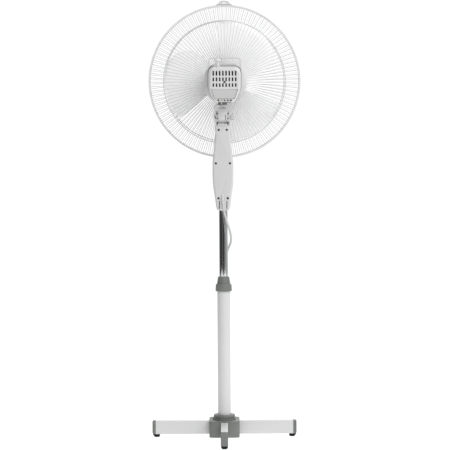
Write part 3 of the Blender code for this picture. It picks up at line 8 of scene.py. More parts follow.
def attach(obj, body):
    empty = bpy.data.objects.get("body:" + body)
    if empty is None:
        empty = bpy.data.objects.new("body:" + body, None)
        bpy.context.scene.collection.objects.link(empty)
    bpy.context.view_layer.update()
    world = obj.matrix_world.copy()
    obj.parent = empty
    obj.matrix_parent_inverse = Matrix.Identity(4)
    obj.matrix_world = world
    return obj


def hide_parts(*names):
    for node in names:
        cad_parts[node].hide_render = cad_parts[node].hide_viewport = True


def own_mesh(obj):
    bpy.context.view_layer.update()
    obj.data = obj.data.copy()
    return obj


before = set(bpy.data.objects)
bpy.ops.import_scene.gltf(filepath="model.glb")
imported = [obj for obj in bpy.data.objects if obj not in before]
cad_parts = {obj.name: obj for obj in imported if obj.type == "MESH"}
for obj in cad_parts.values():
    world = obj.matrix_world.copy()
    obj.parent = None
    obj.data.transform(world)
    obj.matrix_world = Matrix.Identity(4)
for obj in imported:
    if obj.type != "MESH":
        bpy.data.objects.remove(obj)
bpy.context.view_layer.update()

# Where the column and the head stand, as in the CAD frame
COLUMN_X = -0.006
TILT = Vector((COLUMN_X, 0, 0.911))
LEAN = math.radians(7)
COLUMN = Matrix.Translation((COLUMN_X, 0, 0))
NECK = Matrix.Translation(TILT) @ Matrix.Rotation(LEAN, 4, "X")
MOTOR = NECK @ Matrix.Translation((0.006, 0, 0.0995))
ALONG_Y = Matrix.Rotation(-math.pi / 2, 4, "X")  # local Z runs forwards
ALONG_X = Matrix.Rotation(math.pi / 2, 4, "Y")  # local Z runs to the right
BACKWARDS = Matrix.Rotation(math.pi / 2, 4, "X")  # local Z runs backwards
PLAIN = Matrix.Identity(4)
WALL = 0.0022  # of the cover, the housing and the control box
WORM_WHEEL = (-0.0187, -0.082)  # its axis, which the pull knob shares
FLANGE = 0.062


# ------------------------------------------------------------------ camera, floor and light

def added(name, data):
    made = bpy.data.objects.new(name, data)
    bpy.context.scene.collection.objects.link(made)
    return made


def camera():
    data = bpy.data.cameras.new("camera")
    data.sensor_width = 36.0
    data.lens = 18.0 / (0.6430 / 3.6)
    data.shift_x = -0.0007
    data.shift_y = -0.0284
    made = added("camera", data)
    made.location = (0, -3.6, 0.64)
    made.rotation_euler = (math.pi / 2, 0.0061, 0)
    bpy.context.scene.camera = made


def area_light(name, place, target, size, power):
    data = bpy.data.lights.new(name, "AREA")
    data.shape = "RECTANGLE"
    data.size, data.size_y = size
    data.energy = power
    made = added(name, data)
    made.location = place
    made.rotation_euler = (Vector(target) - Vector(place)).to_track_quat("-Z", "Y").to_euler()


SOFT_LEVEL, SOFT_FROM_TOP, SOFT_FROM_RIGHT = 0.55, 0.30, 0.34
WHITE = 1.03
# What a level reflection meets, by its turn from straight behind the fan towards the right, in degrees
HORIZON = ((-180, 1.0), (-150, 0.80), (-126, 0.40), (-104, 0.06), (-84, 0.04), (-52, 0.036), (-36, 0.05),
           (-26, 0.15), (-14, 0.04), (0, 0.026), (14, 0.06), (26, 0.13), (52, 0.28), (84, 0.44), (126, 0.36),
           (150, 0.80), (180, 1.0))


def studio():
    """White behind the fan, soft light from above and the right, and a dark band at the level of the eye."""
    world = bpy.data.worlds.new("studio")
    bpy.context.scene.world = world
    world.use_nodes = True
    nodes, links = world.node_tree.nodes, world.node_tree.links
    place = nodes.new("ShaderNodeTexCoord").outputs["Generated"]
    parts = nodes.new("ShaderNodeSeparateXYZ")
    links.new(place, parts.inputs["Vector"])

    def maths(operation, a, b=None, c=None):
        made = nodes.new("ShaderNodeMath")
        made.operation = operation
        for socket, value in zip(made.inputs, (a, b, c)):
            if value is None:
                continue
            if isinstance(value, (int, float)):
                socket.default_value = value
            else:
                links.new(value, socket)
        return made.outputs["Value"]

    def eased(value, start, end):
        made = nodes.new("ShaderNodeMapRange")
        made.interpolation_type = "SMOOTHSTEP"
        made.inputs["From Min"].default_value = start
        made.inputs["From Max"].default_value = end
        links.new(value, made.inputs["Value"])
        return made.outputs["Result"]

    x, y, z = (parts.outputs[axis] for axis in "XYZ")
    turn = maths("ARCTAN2", x, maths("MULTIPLY", y, -1.0))
    ramp = nodes.new("ShaderNodeValToRGB")
    stops = ramp.color_ramp.elements
    for angle, shade in HORIZON[1:-1]:
        stops.new((angle + 180) / 360)
    for stop, (angle, shade) in zip(stops, HORIZON):
        stop.position = (angle + 180) / 360
        stop.color = (shade, shade, shade, 1)
    links.new(maths("ADD", maths("DIVIDE", turn, 2 * math.pi), 0.5), ramp.inputs["Fac"])
    soft = maths("ADD", maths("MULTIPLY", x, SOFT_FROM_RIGHT), SOFT_LEVEL)
    soft = maths("ADD", maths("MULTIPLY", z, SOFT_FROM_TOP), soft)
    band = eased(maths("ABSOLUTE", z), 0.20, 0.10)

    def between(low, high, share):
        return maths("ADD", maths("MULTIPLY", low, maths("SUBTRACT", 1.0, share)),
                     maths("MULTIPLY", high, share))

    white = eased(y, 0.80, 0.93)
    total = between(between(soft, ramp.outputs["Color"], band), WHITE, white)
    links.new(total, nodes["Background"].inputs["Strength"])
    nodes["Background"].inputs["Color"].default_value = (1, 1, 1, 1)
    area_light("key", (0.9, -3.2, 2.6), (0, 0, 0.8), (1.6, 1.6), 40)
    area_light("fill", (2.6, -2.0, 2.9), (0, 0, 0.7), (1.4, 1.4), 34)
    area_light("back", (0.6, 2.6, 2.4), (0, 0, 0.9), (2.0, 1.2), 30)
    bpy.context.scene.view_settings.view_transform = "Standard"
    mesh = bpy.data.meshes.new("floor")
    mesh.from_pydata([(-6, -6, -0.0005), (6, -6, -0.0005), (6, 6, -0.0005), (-6, 6, -0.0005)], [],
                     [(0, 1, 2, 3)])
    floor = added("floor", mesh)
    made = bpy.data.materials.new("pale_floor")
    made.use_nodes = True
    nodes, links = made.node_tree.nodes, made.node_tree.links
    shader = nodes["Principled BSDF"]
    noise = nodes.new("ShaderNodeTexNoise")
    noise.inputs["Scale"].default_value = 3.0
    ramp = nodes.new("ShaderNodeMapRange")
    ramp.inputs["To Min"].default_value = 0.80
    ramp.inputs["To Max"].default_value = 0.86
    links.new(noise.outputs["Fac"], ramp.inputs["Value"])
    links.new(ramp.outputs["Result"], shader.inputs["Roughness"])
    shader.inputs["Base Color"].default_value = (0.06, 0.06, 0.06, 1)
    shader.inputs["Emission Color"].default_value = (1, 1, 1, 1)
    shader.inputs["Emission Strength"].default_value = 1.02
    mesh.materials.append(made)


# ------------------------------------------------------------------ materials

class Look:
    """A procedural material: drifting colour, varying roughness, and a fine grain or a directed brushing."""

    def __init__(self, name, colour, roughness, metallic=0.0, drift=0.04, grain=900.0, bump=0.04,
                 stretch=(1, 1, 1), wear_and_crease_shade=0.0, coat=0.0, specular=0.5, waves=None, subsurface=0.0):
        self.made = bpy.data.materials.new(name)
        self.made.use_nodes = True
        self.nodes, self.links = self.made.node_tree.nodes, self.made.node_tree.links
        self.shader = self.nodes["Principled BSDF"]
        place = self.node("ShaderNodeTexCoord").outputs["Object"]
        scaled = self.node("ShaderNodeMapping")
        self.links.new(place, scaled.inputs["Vector"])
        scaled.inputs["Scale"].default_value = stretch
        broad = self.noise(place, 14.0, 3.0)
        fine = self.noise(scaled.outputs["Vector"], grain, 4.0)
        mix = self.shaded(self.mapped(broad, 1 - drift, 1 + drift))
        mix.inputs["A"].default_value = (*colour, 1)
        result = mix.outputs["Result"]
        # Lighter edges for wear, and darker grooves as painted shade.
        if wear_and_crease_shade:
            result = self.edges(result, wear_and_crease_shade)
        self.links.new(result, self.shader.inputs["Base Color"])
        self.links.new(self.mapped(fine, roughness * 0.86, roughness * 1.14), self.shader.inputs["Roughness"])
        height = fine
        if waves:
            height = self.wave(place, *waves)
        lifted = self.node("ShaderNodeBump")
        lifted.inputs["Strength"].default_value = min(1.0, bump * 6)
        lifted.inputs["Distance"].default_value = 0.0004
        self.links.new(height, lifted.inputs["Height"])
        self.links.new(lifted.outputs["Normal"], self.shader.inputs["Normal"])
        for socket, value in (("Metallic", metallic), ("Coat Weight", coat), ("Specular IOR Level", specular),
                              ("Subsurface Weight", subsurface)):
            self.shader.inputs[socket].default_value = value
        if subsurface:
            self.shader.inputs["Subsurface Radius"].default_value = (0.004, 0.004, 0.004)
            self.shader.inputs["Subsurface Scale"].default_value = 0.5

    def node(self, kind):
        return self.nodes.new(kind)

    def noise(self, place, scale, detail):
        made = self.node("ShaderNodeTexNoise")
        made.inputs["Scale"].default_value = scale
        made.inputs["Detail"].default_value = detail
        self.links.new(place, made.inputs["Vector"])
        return made.outputs["Fac"]

    def mapped(self, value, low, high, start=0.3, end=0.7):
        made = self.node("ShaderNodeMapRange")
        for socket, number in (("From Min", start), ("From Max", end), ("To Min", low), ("To Max", high)):
            made.inputs[socket].default_value = number
        self.links.new(value, made.inputs["Value"])
        return made.outputs["Result"]

    def wave(self, place, direction, scale):
        made = self.node("ShaderNodeTexWave")
        made.bands_direction = direction
        made.inputs["Scale"].default_value = scale
        made.inputs["Distortion"].default_value = 0.4
        self.links.new(place, made.inputs["Vector"])
        return made.outputs["Fac"]

    def edges(self, colour, amount):
        """Sharp convex edges are a little lighter, as wear, and grooves a little darker, as painted shade."""
        shape = self.node("ShaderNodeNewGeometry").outputs["Pointiness"]
        mix = self.shaded(self.mapped(shape, 1 - amount, 1 + amount * 0.5, 0.47, 0.53))
        self.links.new(colour, mix.inputs["A"])
        return mix.outputs["Result"]

    def shaded(self, shade):
        """A node that multiplies the colour put in as A by a grey value."""
        joined = self.node("ShaderNodeCombineColor")
        for channel in ("Red", "Green", "Blue"):
            self.links.new(shade, joined.inputs[channel])
        mix = self.node("ShaderNodeMix")
        mix.data_type = "RGBA"
        mix.blend_type = "MULTIPLY"
        mix.inputs["Factor"].default_value = 1.0
        self.links.new(joined.outputs["Color"], mix.inputs["B"])
        return mix


LOOKS = {
    "white_paint": Look("powder_coat", (0.60, 0.60, 0.605), 0.34, drift=0.015, grain=1400, bump=0.05,
                        wear_and_crease_shade=0.06, coat=0.15),
    "guard_wire": Look("coated_wire", (0.60, 0.60, 0.61), 0.36, drift=0.03, grain=1600, bump=0.04, coat=0.2),
    "rim_band": Look("coated_band", (0.66, 0.66, 0.67), 0.36, drift=0.03, grain=1600, bump=0.04, wear_and_crease_shade=0.08,
                     coat=0.2),
    "casing": Look("satin_moulding", (0.57, 0.57, 0.57), 0.40, drift=0.015, grain=2600, bump=0.05, wear_and_crease_shade=0.12),
    "clear_casing": Look("pale_moulding", (0.74, 0.74, 0.75), 0.38, drift=0.02, grain=2400, bump=0.04,
                         wear_and_crease_shade=0.08, subsurface=0.15),
    "grey_plastic": Look("grey_moulding", (0.142, 0.150, 0.140), 0.46, drift=0.06, grain=2200, bump=0.07,
                         wear_and_crease_shade=0.25),
    "key_plastic": Look("key_moulding", (0.30, 0.31, 0.32), 0.36, drift=0.04, grain=2200, bump=0.05,
                        wear_and_crease_shade=0.2),
    "black_rubber": Look("moulded_rubber", (0.010, 0.010, 0.011), 0.72, drift=0.25, grain=1800, bump=0.16,
                         specular=0.2),
    "cap_plastic": Look("cap_moulding", (0.150, 0.158, 0.150), 0.46, drift=0.06, grain=2200, bump=0.07,
                        wear_and_crease_shade=0.2),
    # Black plastic parts, and also the painted shade inside the motor, at the cover seam and in the gaps of
    # the neck.
    "black_plastic": Look("black_moulding_and_shade", (0.02, 0.02, 0.021), 0.42, drift=0.2, grain=2000, bump=0.08),
    "chrome": Look("bright_chrome", (0.78, 0.79, 0.80), 0.07, metallic=1.0, drift=0.02, grain=500, bump=0.01,
                   stretch=(1, 1, 0.05)),
    "steel": Look("machined_steel", (0.42, 0.42, 0.43), 0.33, metallic=1.0, drift=0.08, grain=900, bump=0.08,
                  stretch=(1, 1, 0.2)),
    "dark_steel": Look("oiled_steel", (0.10, 0.10, 0.105), 0.40, metallic=1.0, drift=0.15, grain=900,
                       bump=0.08),
    "zinc": Look("zinc_strip", (0.55, 0.54, 0.50), 0.36, metallic=1.0, drift=0.14, grain=120, bump=0.05),
    "cast_aluminium": Look("die_cast", (0.20, 0.20, 0.205), 0.55, metallic=1.0, drift=0.08, grain=1100,
                           bump=0.20),
    "lamination": Look("lamination_stack", (0.13, 0.13, 0.14), 0.45, metallic=0.9, drift=0.12, bump=0.25,
                       waves=("Y", 400.0)),
    "bronze": Look("sintered_bronze", (0.42, 0.30, 0.14), 0.48, metallic=1.0, drift=0.12, grain=2500,
                   bump=0.20),
    "copper": Look("enamelled_copper", (0.42, 0.16, 0.07), 0.34, metallic=0.85, drift=0.12, bump=0.45,
                   waves=("DIAGONAL", 260.0), coat=0.4),
    "nylon": Look("natural_nylon", (0.66, 0.63, 0.56), 0.42, drift=0.04, grain=1500, bump=0.05,
                  subsurface=0.2),
    "blade_plastic": Look("blade_moulding", (0.93, 0.93, 0.935), 0.40, drift=0.015, grain=1500, bump=0.03,
                          subsurface=0.2),
    "cord_pvc": Look("pvc_sheath", (0.52, 0.52, 0.51), 0.50, drift=0.03, grain=1900, bump=0.06),
}


# ------------------------------------------------------------------ mesh tools

def piece(name, shape, matrix, body, look, replaces=(), sharp=38.0):
    """An object from (points, faces), placed by its matrix, that rides on a body."""
    mesh = bpy.data.meshes.new(name)
    mesh.from_pydata([tuple(p) for p in shape[0]], [], shape[1])
    mesh.transform(matrix)
    mesh.update()
    return dress(name, mesh, body, look, replaces, sharp)


def dress(name, mesh, body, look, replaces=(), sharp=38.0):
    work = bmesh.new()
    work.from_mesh(mesh)
    bmesh.ops.recalc_face_normals(work, faces=work.faces)
    work.to_mesh(mesh)
    work.free()
    made = added(name, mesh)
    mesh.materials.clear()
    mesh.materials.append(LOOKS[look].made)
    mesh.shade_smooth()
    mesh.set_sharp_from_angle(angle=math.radians(sharp))
    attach(made, body)
    if replaces:
        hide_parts(*replaces)
    return made


def merged(*shapes):
    points, faces = [], []
    for more, rings in shapes:
        start = len(points)
        points += list(more)
        faces += [tuple(start + i for i in face) for face in rings]
    return points, faces


def moved(shape, matrix):
    return [matrix @ Vector(p) for p in shape[0]], shape[1]


def spun(profile, steps=64, closed=False):
    """A profile of (radius, height) turned about local Z; points on the axis are joined."""
    points, faces, rows = [], [], []
    for radius, height in profile:
        if radius < 1e-7:
            rows.append([len(points)] * steps)
            points.append((0, 0, height))
        else:
            rows.append([len(points) + i for i in range(steps)])
            points += [(radius * math.cos(2 * math.pi * i / steps),
                        radius * math.sin(2 * math.pi * i / steps), height)
                       for i in range(steps)]
    pairs = list(zip(rows, rows[1:])) + ([(rows[-1], rows[0])] if closed else [])
    for near, far in pairs:
        for i in range(steps):
            j = (i + 1) % steps
            face = [near[i], near[j], far[j], far[i]]
            face = [v for k, v in enumerate(face) if v != face[k - 1]]
            if len(face) > 2:
                faces.append(tuple(face))
    return points, faces


def bend(a, corner, b, steps=6):
    """The points of a curve from a to b that leans towards a corner."""
    a, corner, b = Vector(a), Vector(corner), Vector(b)
    shares = [k / steps for k in range(steps + 1)]
    return [tuple((1 - t) ** 2 * a + 2 * t * (1 - t) * corner + t * t * b) for t in shares]


def rounded(corners, radius, steps=3, closed=False):
    """A profile with its corners rounded off."""
    count = len(corners)
    out = []
    for i, corner in enumerate(corners):
        at = Vector(corner)
        if not closed and i in (0, count - 1):
            out.append(tuple(at))
            continue
        before, after = Vector(corners[i - 1]) - at, Vector(corners[(i + 1) % count]) - at
        reach = min(radius, before.length * 0.45, after.length * 0.45)
        if reach < 1e-6:
            out.append(tuple(at))
            continue
        out += bend(at + before.normalized() * reach, at, at + after.normalized() * reach, steps)
    return out


def smooth(points, step):
    """A Catmull-Rom curve through points, read at about even steps."""
    guides = [Vector(p) for p in points]
    guides = [2 * guides[0] - guides[1], *guides, 2 * guides[-1] - guides[-2]]
    read = []
    for a, b, c, d in zip(guides, guides[1:], guides[2:], guides[3:]):
        count = max(1, round((c - b).length / step))
        for i in range(count):
            t = i / count
            read.append(0.5 * (2 * b + (c - a) * t + (2 * a - 5 * b + 4 * c - d) * t * t
                               + (3 * b - a - 3 * c + d) * t * t * t))
    return [*read, guides[-2]]


def tube(path, radius, sides=8, closed=False, caps=True):
    """A round wire along a path. The frame is carried along, so that it doesn't twist."""
    path = [Vector(p) for p in path]
    count = len(path)
    points, faces = [], []
    normal = None
    for i, at in enumerate(path):
        if closed:
            along = (path[(i + 1) % count] - path[i - 1]).normalized()
        else:
            along = (path[min(i + 1, count - 1)] - path[max(i - 1, 0)]).normalized()
        if normal is None:
            normal = along.orthogonal().normalized()
        normal = (normal - along * normal.dot(along)).normalized()
        side = along.cross(normal)
        r = radius[i] if isinstance(radius, (list, tuple)) else radius
        points += [at + r * (math.cos(t) * normal + math.sin(t) * side)
                   for t in (2 * math.pi * k / sides for k in range(sides))]
    for i in range(count if closed else count - 1):
        j = (i + 1) % count
        for k in range(sides):
            m = (k + 1) % sides
            faces.append((i * sides + k, i * sides + m, j * sides + m, j * sides + k))
    if caps and not closed:
        faces.append(tuple(range(sides)))
        faces.append(tuple(reversed(range((count - 1) * sides, count * sides))))
    return points, faces


def circle(radius, y, steps=144):
    return [(radius * math.cos(2 * math.pi * i / steps), y, radius * math.sin(2 * math.pi * i / steps))
            for i in range(steps)]


def skin(rings, first=True, last=True):
    """Rings of equal count joined in order, with either end closed."""
    count = len(rings[0])
    points = [p for ring in rings for p in ring]
    faces = []
    for r in range(len(rings) - 1):
        for i in range(count):
            j = (i + 1) % count
            faces.append((r * count + i, r * count + j, (r + 1) * count + j, (r + 1) * count + i))
    if first:
        faces.append(tuple(range(count)))
    if last:
        faces.append(tuple(range((len(rings) - 1) * count, len(rings) * count)))
    return points, faces


def brick(low, high):
    (x0, y0, z0), (x1, y1, z1) = low, high
    points = [(x, y, z) for x in (x0, x1) for y in (y0, y1) for z in (z0, z1)]
    return points, [(0, 1, 3, 2), (4, 6, 7, 5), (0, 4, 5, 1), (2, 3, 7, 6), (0, 2, 6, 4), (1, 5, 7, 3)]


def level(outline, y):
    return [(x, y, z) for x, z in outline]


def band(rings):
    """A skin whose last ring joins its first."""
    points, faces = skin(rings, False, False)
    count, last = len(rings[0]), (len(rings) - 1) * len(rings[0])
    return points, faces + [(last + i, last + (i + 1) % count, (i + 1) % count, i) for i in range(count)]


def shell(stations):
    """The skin over outlines, each with its own y."""
    return skin([level(outline, y) for outline, y in stations])


def slab(outline, start, stop):
    return shell([(outline, start), (outline, stop)])


def framed(x0, z0, x1, z1, radius, steps=2):
    """A rectangle with round corners."""
    return rounded([(x0, z0), (x1, z0), (x1, z1), (x0, z1)], radius, steps, True)


def pin(radius, start, stop, sides):
    return spun([(0, start), (radius, start), (radius, stop), (0, stop)], sides)


def turns(count, axis="Z"):
    """Even turns about an axis."""
    return [Matrix.Rotation(2 * math.pi * i / count, 4, axis) for i in range(count)]


def solid(shape):
    mesh = bpy.data.meshes.new("work")
    mesh.from_pydata([tuple(p) for p in shape[0]], [], shape[1])
    work = bmesh.new()
    work.from_mesh(mesh)
    bmesh.ops.remove_doubles(work, verts=work.verts, dist=1e-6)
    bmesh.ops.recalc_face_normals(work, faces=work.faces)
    work.to_mesh(mesh)
    work.free()
    return added("work", mesh)


def evaluated(made):
    graph = bpy.context.evaluated_depsgraph_get()
    graph.update()
    mesh = bpy.data.meshes.new_from_object(made.evaluated_get(graph))
    bpy.data.objects.remove(made)
    return mesh


def carved(shape, cuts, joins=()):
    """The mesh of a shape with others joined to it and cut out of it."""
    body = solid(shape)
    helpers = []
    for operation, group in (("UNION", joins), ("DIFFERENCE", cuts)):
        for other in group:
            tool = solid(other)
            helpers.append(tool)
            made = body.modifiers.new("boolean", "BOOLEAN")
            made.operation = operation
            made.object = tool
            made.solver = "EXACT"
    mesh = evaluated(body)
    for tool in helpers:
        bpy.data.objects.remove(tool)
    return mesh


def refined(node, body, look, width=0.0006, segments=2, sharp=38.0, angle=32.0):
    """A piece in place of a CAD node: the same shape, with its hard edges rounded."""
    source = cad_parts[node].data
    work = bmesh.new()
    work.from_mesh(source)
    bmesh.ops.remove_doubles(work, verts=work.verts, dist=2e-6)
    bmesh.ops.dissolve_limit(work, angle_limit=math.radians(1.0), verts=work.verts, edges=work.edges)
    mesh = bpy.data.meshes.new(node + "_refined")
    work.to_mesh(mesh)
    work.free()
    helper = added("work", mesh)
    made = helper.modifiers.new("bevel", "BEVEL")
    made.width = width
    made.segments = segments
    made.limit_method = "ANGLE"
    made.angle_limit = math.radians(angle)
    made.use_clamp_overlap = True
    return dress(node + "_shape", evaluated(helper), body, look, (node,), sharp)


# ------------------------------------------------------------------ mains cord

CORD_RADIUS = 0.003
BOOT_TOP, BOOT_END = Vector((-0.0027, -0.0235, 0.7000)), Vector((0.0, -0.0365, 0.6640))
COIL = Vector((0.092, 0.112))
TURN_IN, TURN_OUT, BESIDE = 0.0298, 0.0362, 0.043
LAYER_LOW, LAYER_HIGH = 0.0032, 0.0094
PLUG = Vector((0.145, 0.112 - 0.0362, 0.0125))


def cord():
    ahead = (BOOT_END - BOOT_TOP).normalized()
    hanging = [
        BOOT_END + ahead * 0.0003, BOOT_END + ahead * 0.014, (0.0062, -0.0400, 0.6280),
        (0.0140, -0.0330, 0.6020), (0.0205, -0.0190, 0.5790), (0.0215, -0.0010, 0.5560),
        (0.0130, 0.0190, 0.5330), (0.0045, 0.0320, 0.5050), (0.0020, 0.0375, 0.4600),
        (0.0020, 0.0380, 0.3800), (0.0030, 0.0380, 0.2800), (0.0040, 0.0385, 0.1800),
        (0.0060, 0.0410, 0.1200), (0.0100, 0.0460, 0.0800), (0.0170, 0.0530, 0.0540),
        (0.0260, 0.0580, 0.0330), (0.0380, 0.0625, 0.0170), (0.0540, 0.0664, 0.0075),
        (0.0730, 0.0685, 0.0036), ]

    def wound(turn):
        """Radius and height of the coil after this many degrees."""
        def eased(start, end):
            t = min(1.0, max(0.0, (turn - start) / (end - start)))
            return t * t * (3 - 2 * t)
        radius = BESIDE + (TURN_OUT - BESIDE) * eased(30, 90) + (TURN_IN - TURN_OUT) * eased(390, 450)
        radius += (TURN_OUT - TURN_IN) * eased(990, 1050)
        return radius, LAYER_LOW + (LAYER_HIGH - LAYER_LOW) * (eased(690, 750) + eased(1350, 1410))

    coil = []
    for turn in range(270, 1711, 15):
        radius, height = wound(turn)
        angle = math.radians(turn)
        coil.append((COIL.x + radius * math.cos(angle), COIL.y + radius * math.sin(angle), height))
    tail = [(PLUG.x - 0.032, PLUG.y, 0.0148), (PLUG.x - 0.014, PLUG.y, 0.0129),
            (PLUG.x - 0.0004, PLUG.y, PLUG.z)]
    line = smooth([*hanging, *coil, *tail], 0.004)
    line = [COLUMN @ Vector(p) for p in line]
    made = piece("mains_cord", tube(line, CORD_RADIUS, 16), PLAIN, "base", "cord_pvc",
                 ("cord_tube", "cord_coil"), 60)
    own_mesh(made)
    profile = rounded([(0, 0.036), (0.0125, 0.036), (0.0125, 0.022), (0.0062, 0.004), (0.0046, 0.0), (0, 0)],
                      0.0025, 4)
    ribs = []
    for h in (0.0035, 0.0068, 0.0101):
        crest = 0.0068 + h * 0.12
        rib = rounded([(0.0052, h), (crest, h + 0.0002), (crest, h + 0.0014), (0.0052, h + 0.0016)], 0.0003,
                      2, True)
        ribs.append(spun(rib, 32, True))
    pins = [moved(spun(rounded([(0, 0.019), (0.0024, 0.019), (0.0024, -0.001), (0, -0.001)], 0.0009, 4), 24),
                  Matrix.Translation((0, side * 0.0165 / 2, 0.036))) for side in (-1, 1)]
    place = COLUMN @ Matrix.Translation(PLUG) @ ALONG_X
    plug = piece("plug_body", merged(spun(profile, 48), *ribs), place, "base", "cord_pvc", ("mains_plug",))
    metal = piece("plug_pins", merged(*pins), place, "base", "steel")


# ------------------------------------------------------------------ guards

WIRES = 104
REAR_LINE = [(0.030, 0.0385), (0.052, 0.0386), (0.085, 0.0405), (0.125, 0.0455), (0.158, 0.0520),
             (0.1765, 0.0572), (0.194, 0.0678), (0.2075, 0.0815), (0.2155, 0.0920), (0.2183, 0.0968)]
FRONT_LINE = [(0.0405, 0.1658), (0.070, 0.1650), (0.110, 0.1618), (0.148, 0.1560), (0.1765, 0.1488),
              (0.196, 0.1385), (0.2085, 0.1260), (0.2155, 0.1145), (0.2183, 0.1080)]


def guard(name, line, wire, half_turn, hoops, plate=None):
    """Radial wires from the hub to the rim, welded to hoops."""
    bars = []
    path = smooth([(r, y, 0) for r, y in line], 0.013)
    for i in range(WIRES):
        turn = Matrix.Rotation(-2 * math.pi * (i + half_turn) / WIRES, 4, "Y")
        bars.append(tube([turn @ p for p in path], wire, 6))
    rings = [tube(circle(radius, y, 160), thick, 8, closed=True) for radius, y, thick in hoops]
    piece(name + "_wires", merged(*bars, *rings), MOTOR, "head", "guard_wire", (name,), 60)
    if plate:
        piece(name + "_plate", moved(spun(plate, 96, True), ALONG_Y), MOTOR, "head", "guard_wire")


def guards():
    plate = rounded([(0.0188, 0.0377), (0.053, 0.0377), (0.053, 0.0385), (0.047, 0.0393), (0.034, 0.0393),
                     (0.0188, 0.0393)], 0.0008, 2, True)
    guard("rear_guard", REAR_LINE, 0.00080, 0.0,
          [(0.1765, 0.0590, 0.00125), (0.2180, 0.0975, 0.0014)], plate)
    guard("front_guard", FRONT_LINE, 0.00080, 0.5,
          [(0.0412, 0.1645, 0.0012), (0.1765, 0.1470, 0.00125), (0.2180, 0.1065, 0.0014)])
    nut = rounded([(0.029, 0.0), (0.029, 0.009), (0.0255, 0.009), (0.0245, 0.0072), (0.0186, 0.0072),
                   (0.0186, 0.0)], 0.0008, 2, True)
    knurls = []
    for i in range(20):
        turn = 2 * math.pi * i / 20
        at = Vector((0.0281 * math.cos(turn), 0.0281 * math.sin(turn), 0.0006))
        knurls.append(moved(spun(rounded([(0, 0), (0.0012, 0), (0.0012, 0.0074), (0, 0.0074)], 0.0004, 2), 8),
                            Matrix.Translation(at)))
    piece("guard_nut_shape", merged(spun(nut, 80, True), *knurls),
          MOTOR @ Matrix.Translation((0, 0.0396, 0)) @ ALONG_Y, "head", "grey_plastic", ("guard_nut",))
    face = rounded([(0, 0.0040), (0.030, 0.0038), (0.034, 0.0028), (0.036, 0.0038), (0.0415, 0.0036),
                    (0.0449, 0.0018), (0.0449, 0), (0, 0)], 0.0009, 3)
    piece("badge_shape", spun(face, 96), MOTOR @ Matrix.Translation((0, 0.1671, 0)) @ ALONG_Y, "head",
          "grey_plastic", ("centre_badge",))


def rim():
    """The channel round both rims, open at the bottom between its two lugs."""
    section = rounded([(0.2225, 0.111), (0.2225, 0.093), (0.2166, 0.093), (0.2166, 0.0945), (0.2195, 0.0945),
                       (0.2195, 0.1095), (0.2166, 0.1095), (0.2166, 0.111)], 0.0007, 2, True)
    bead = []
    for r, y in section:
        crown = 0.0004 * math.sin(math.pi * max(0.0, min(1.0, (y - 0.093) / 0.018)))
        bead.append((r - (0.0004 - crown if r > 0.222 else 0), y))
    steps = 240
    gap = 0.0008 / 0.2225
    rings = []
    for i in range(steps + 1):
        turn = -math.pi / 2 + gap + (2 * math.pi - 2 * gap) * i / steps
        rings.append([(r * math.cos(turn), y, r * math.sin(turn)) for r, y in bead])
    lugs = []
    for side in (-1, 1):
        x0, x1 = sorted((side * 0.0009, side * 0.008))
        lugs.append(brick((x0, 0.0962, -0.2323), (x1, 0.1078, -0.2212)))
    mesh = carved(skin(rings), [moved(pin(0.0023, -0.01, 0.01, 24),
                                      Matrix.Translation((0, 0.102, -0.228)) @ ALONG_X)], lugs)
    mesh.transform(MOTOR)
    dress("rim_band", mesh, "head", "rim_band", ("rim_ring",), 40)
    screw = rounded([(0, 0.0165), (0.0020, 0.0165), (0.0020, 0), (0.0036, 0), (0.0036, -0.0016),
                     (0.0026, -0.0025), (0, -0.0025)], 0.0004, 2)
    slot_cut = brick((-0.0005, -0.006, -0.0035), (0.0005, 0.006, -0.0017))
    mesh = carved(spun(screw, 32), [slot_cut])
    mesh.transform(MOTOR @ Matrix.Translation((-0.0083, 0.102, -0.228)) @ ALONG_X)
    dress("rim_screw_shape", mesh, "head", "steel", ("rim_screw",))


# ------------------------------------------------------------------ impeller

STATIONS = [(0.0425, 96, 2), (0.055, 96.5, 3.5), (0.070, 97, 6), (0.090, 97.8, 9), (0.108, 98.4, 12),
            (0.126, 98.8, 16), (0.142, 99, 20), (0.154, 98.6, 25), (0.163, 97.6, 30), (0.169, 96.2, 35),
            (0.1730, 93.6, 40.5), (0.1752, 90.2, 46)]


def blade():
    """A pitched, slightly cupped blade with a thicker root and thin, rounded edges."""
    columns = 22
    rows = smooth([Vector(s) for s in STATIONS], 2.4)
    rows = [rows[round(i * (len(rows) - 1) / 40)] for i in range(41)]
    front, back = [], []
    for radius, lead, trail in rows:
        out = (radius - 0.0425) / (0.1752 - 0.0425)
        for i in range(columns + 1):
            s = i / columns
            turn = math.radians(lead + (trail - lead) * s)
            y = 0.065 + 0.042 * (s + 0.10 * math.sin(math.pi * s))
            edge = min(1.0, 4.5 * min(s, 1 - s) + 0.25) * min(1.0, 6 * (1 - out) + 0.3)
            half = (0.0011 + 0.0005 * (1 - out)) * edge
            at = Vector((radius * math.cos(turn), y, radius * math.sin(turn)))
            slope = math.atan2(0.042, radius * math.radians(lead - trail))
            around = Vector((math.sin(turn), 0, -math.cos(turn)))
            normal = Vector((0, 1, 0)) * math.cos(slope) - around * math.sin(slope)
            front.append(at + normal * half)
            back.append(at - normal * half)
    wide = columns + 1
    count = len(rows) * wide
    faces = []
    for r in range(len(rows) - 1):
        for c in range(columns):
            a = r * wide + c
            faces.append((a, a + 1, a + wide + 1, a + wide))
            faces.append((count + a, count + a + wide, count + a + wide + 1, count + a + 1))
    rim_line = [c for c in range(wide)] + [r * wide + columns for r in range(1, len(rows))]
    rim_line += [(len(rows) - 1) * wide + c for c in range(columns - 1, -1, -1)]
    rim_line += [r * wide for r in range(len(rows) - 2, 0, -1)]
    for i, a in enumerate(rim_line):
        b = rim_line[(i + 1) % len(rim_line)]
        faces.append((a, b, count + b, count + a))
    return front + back, faces


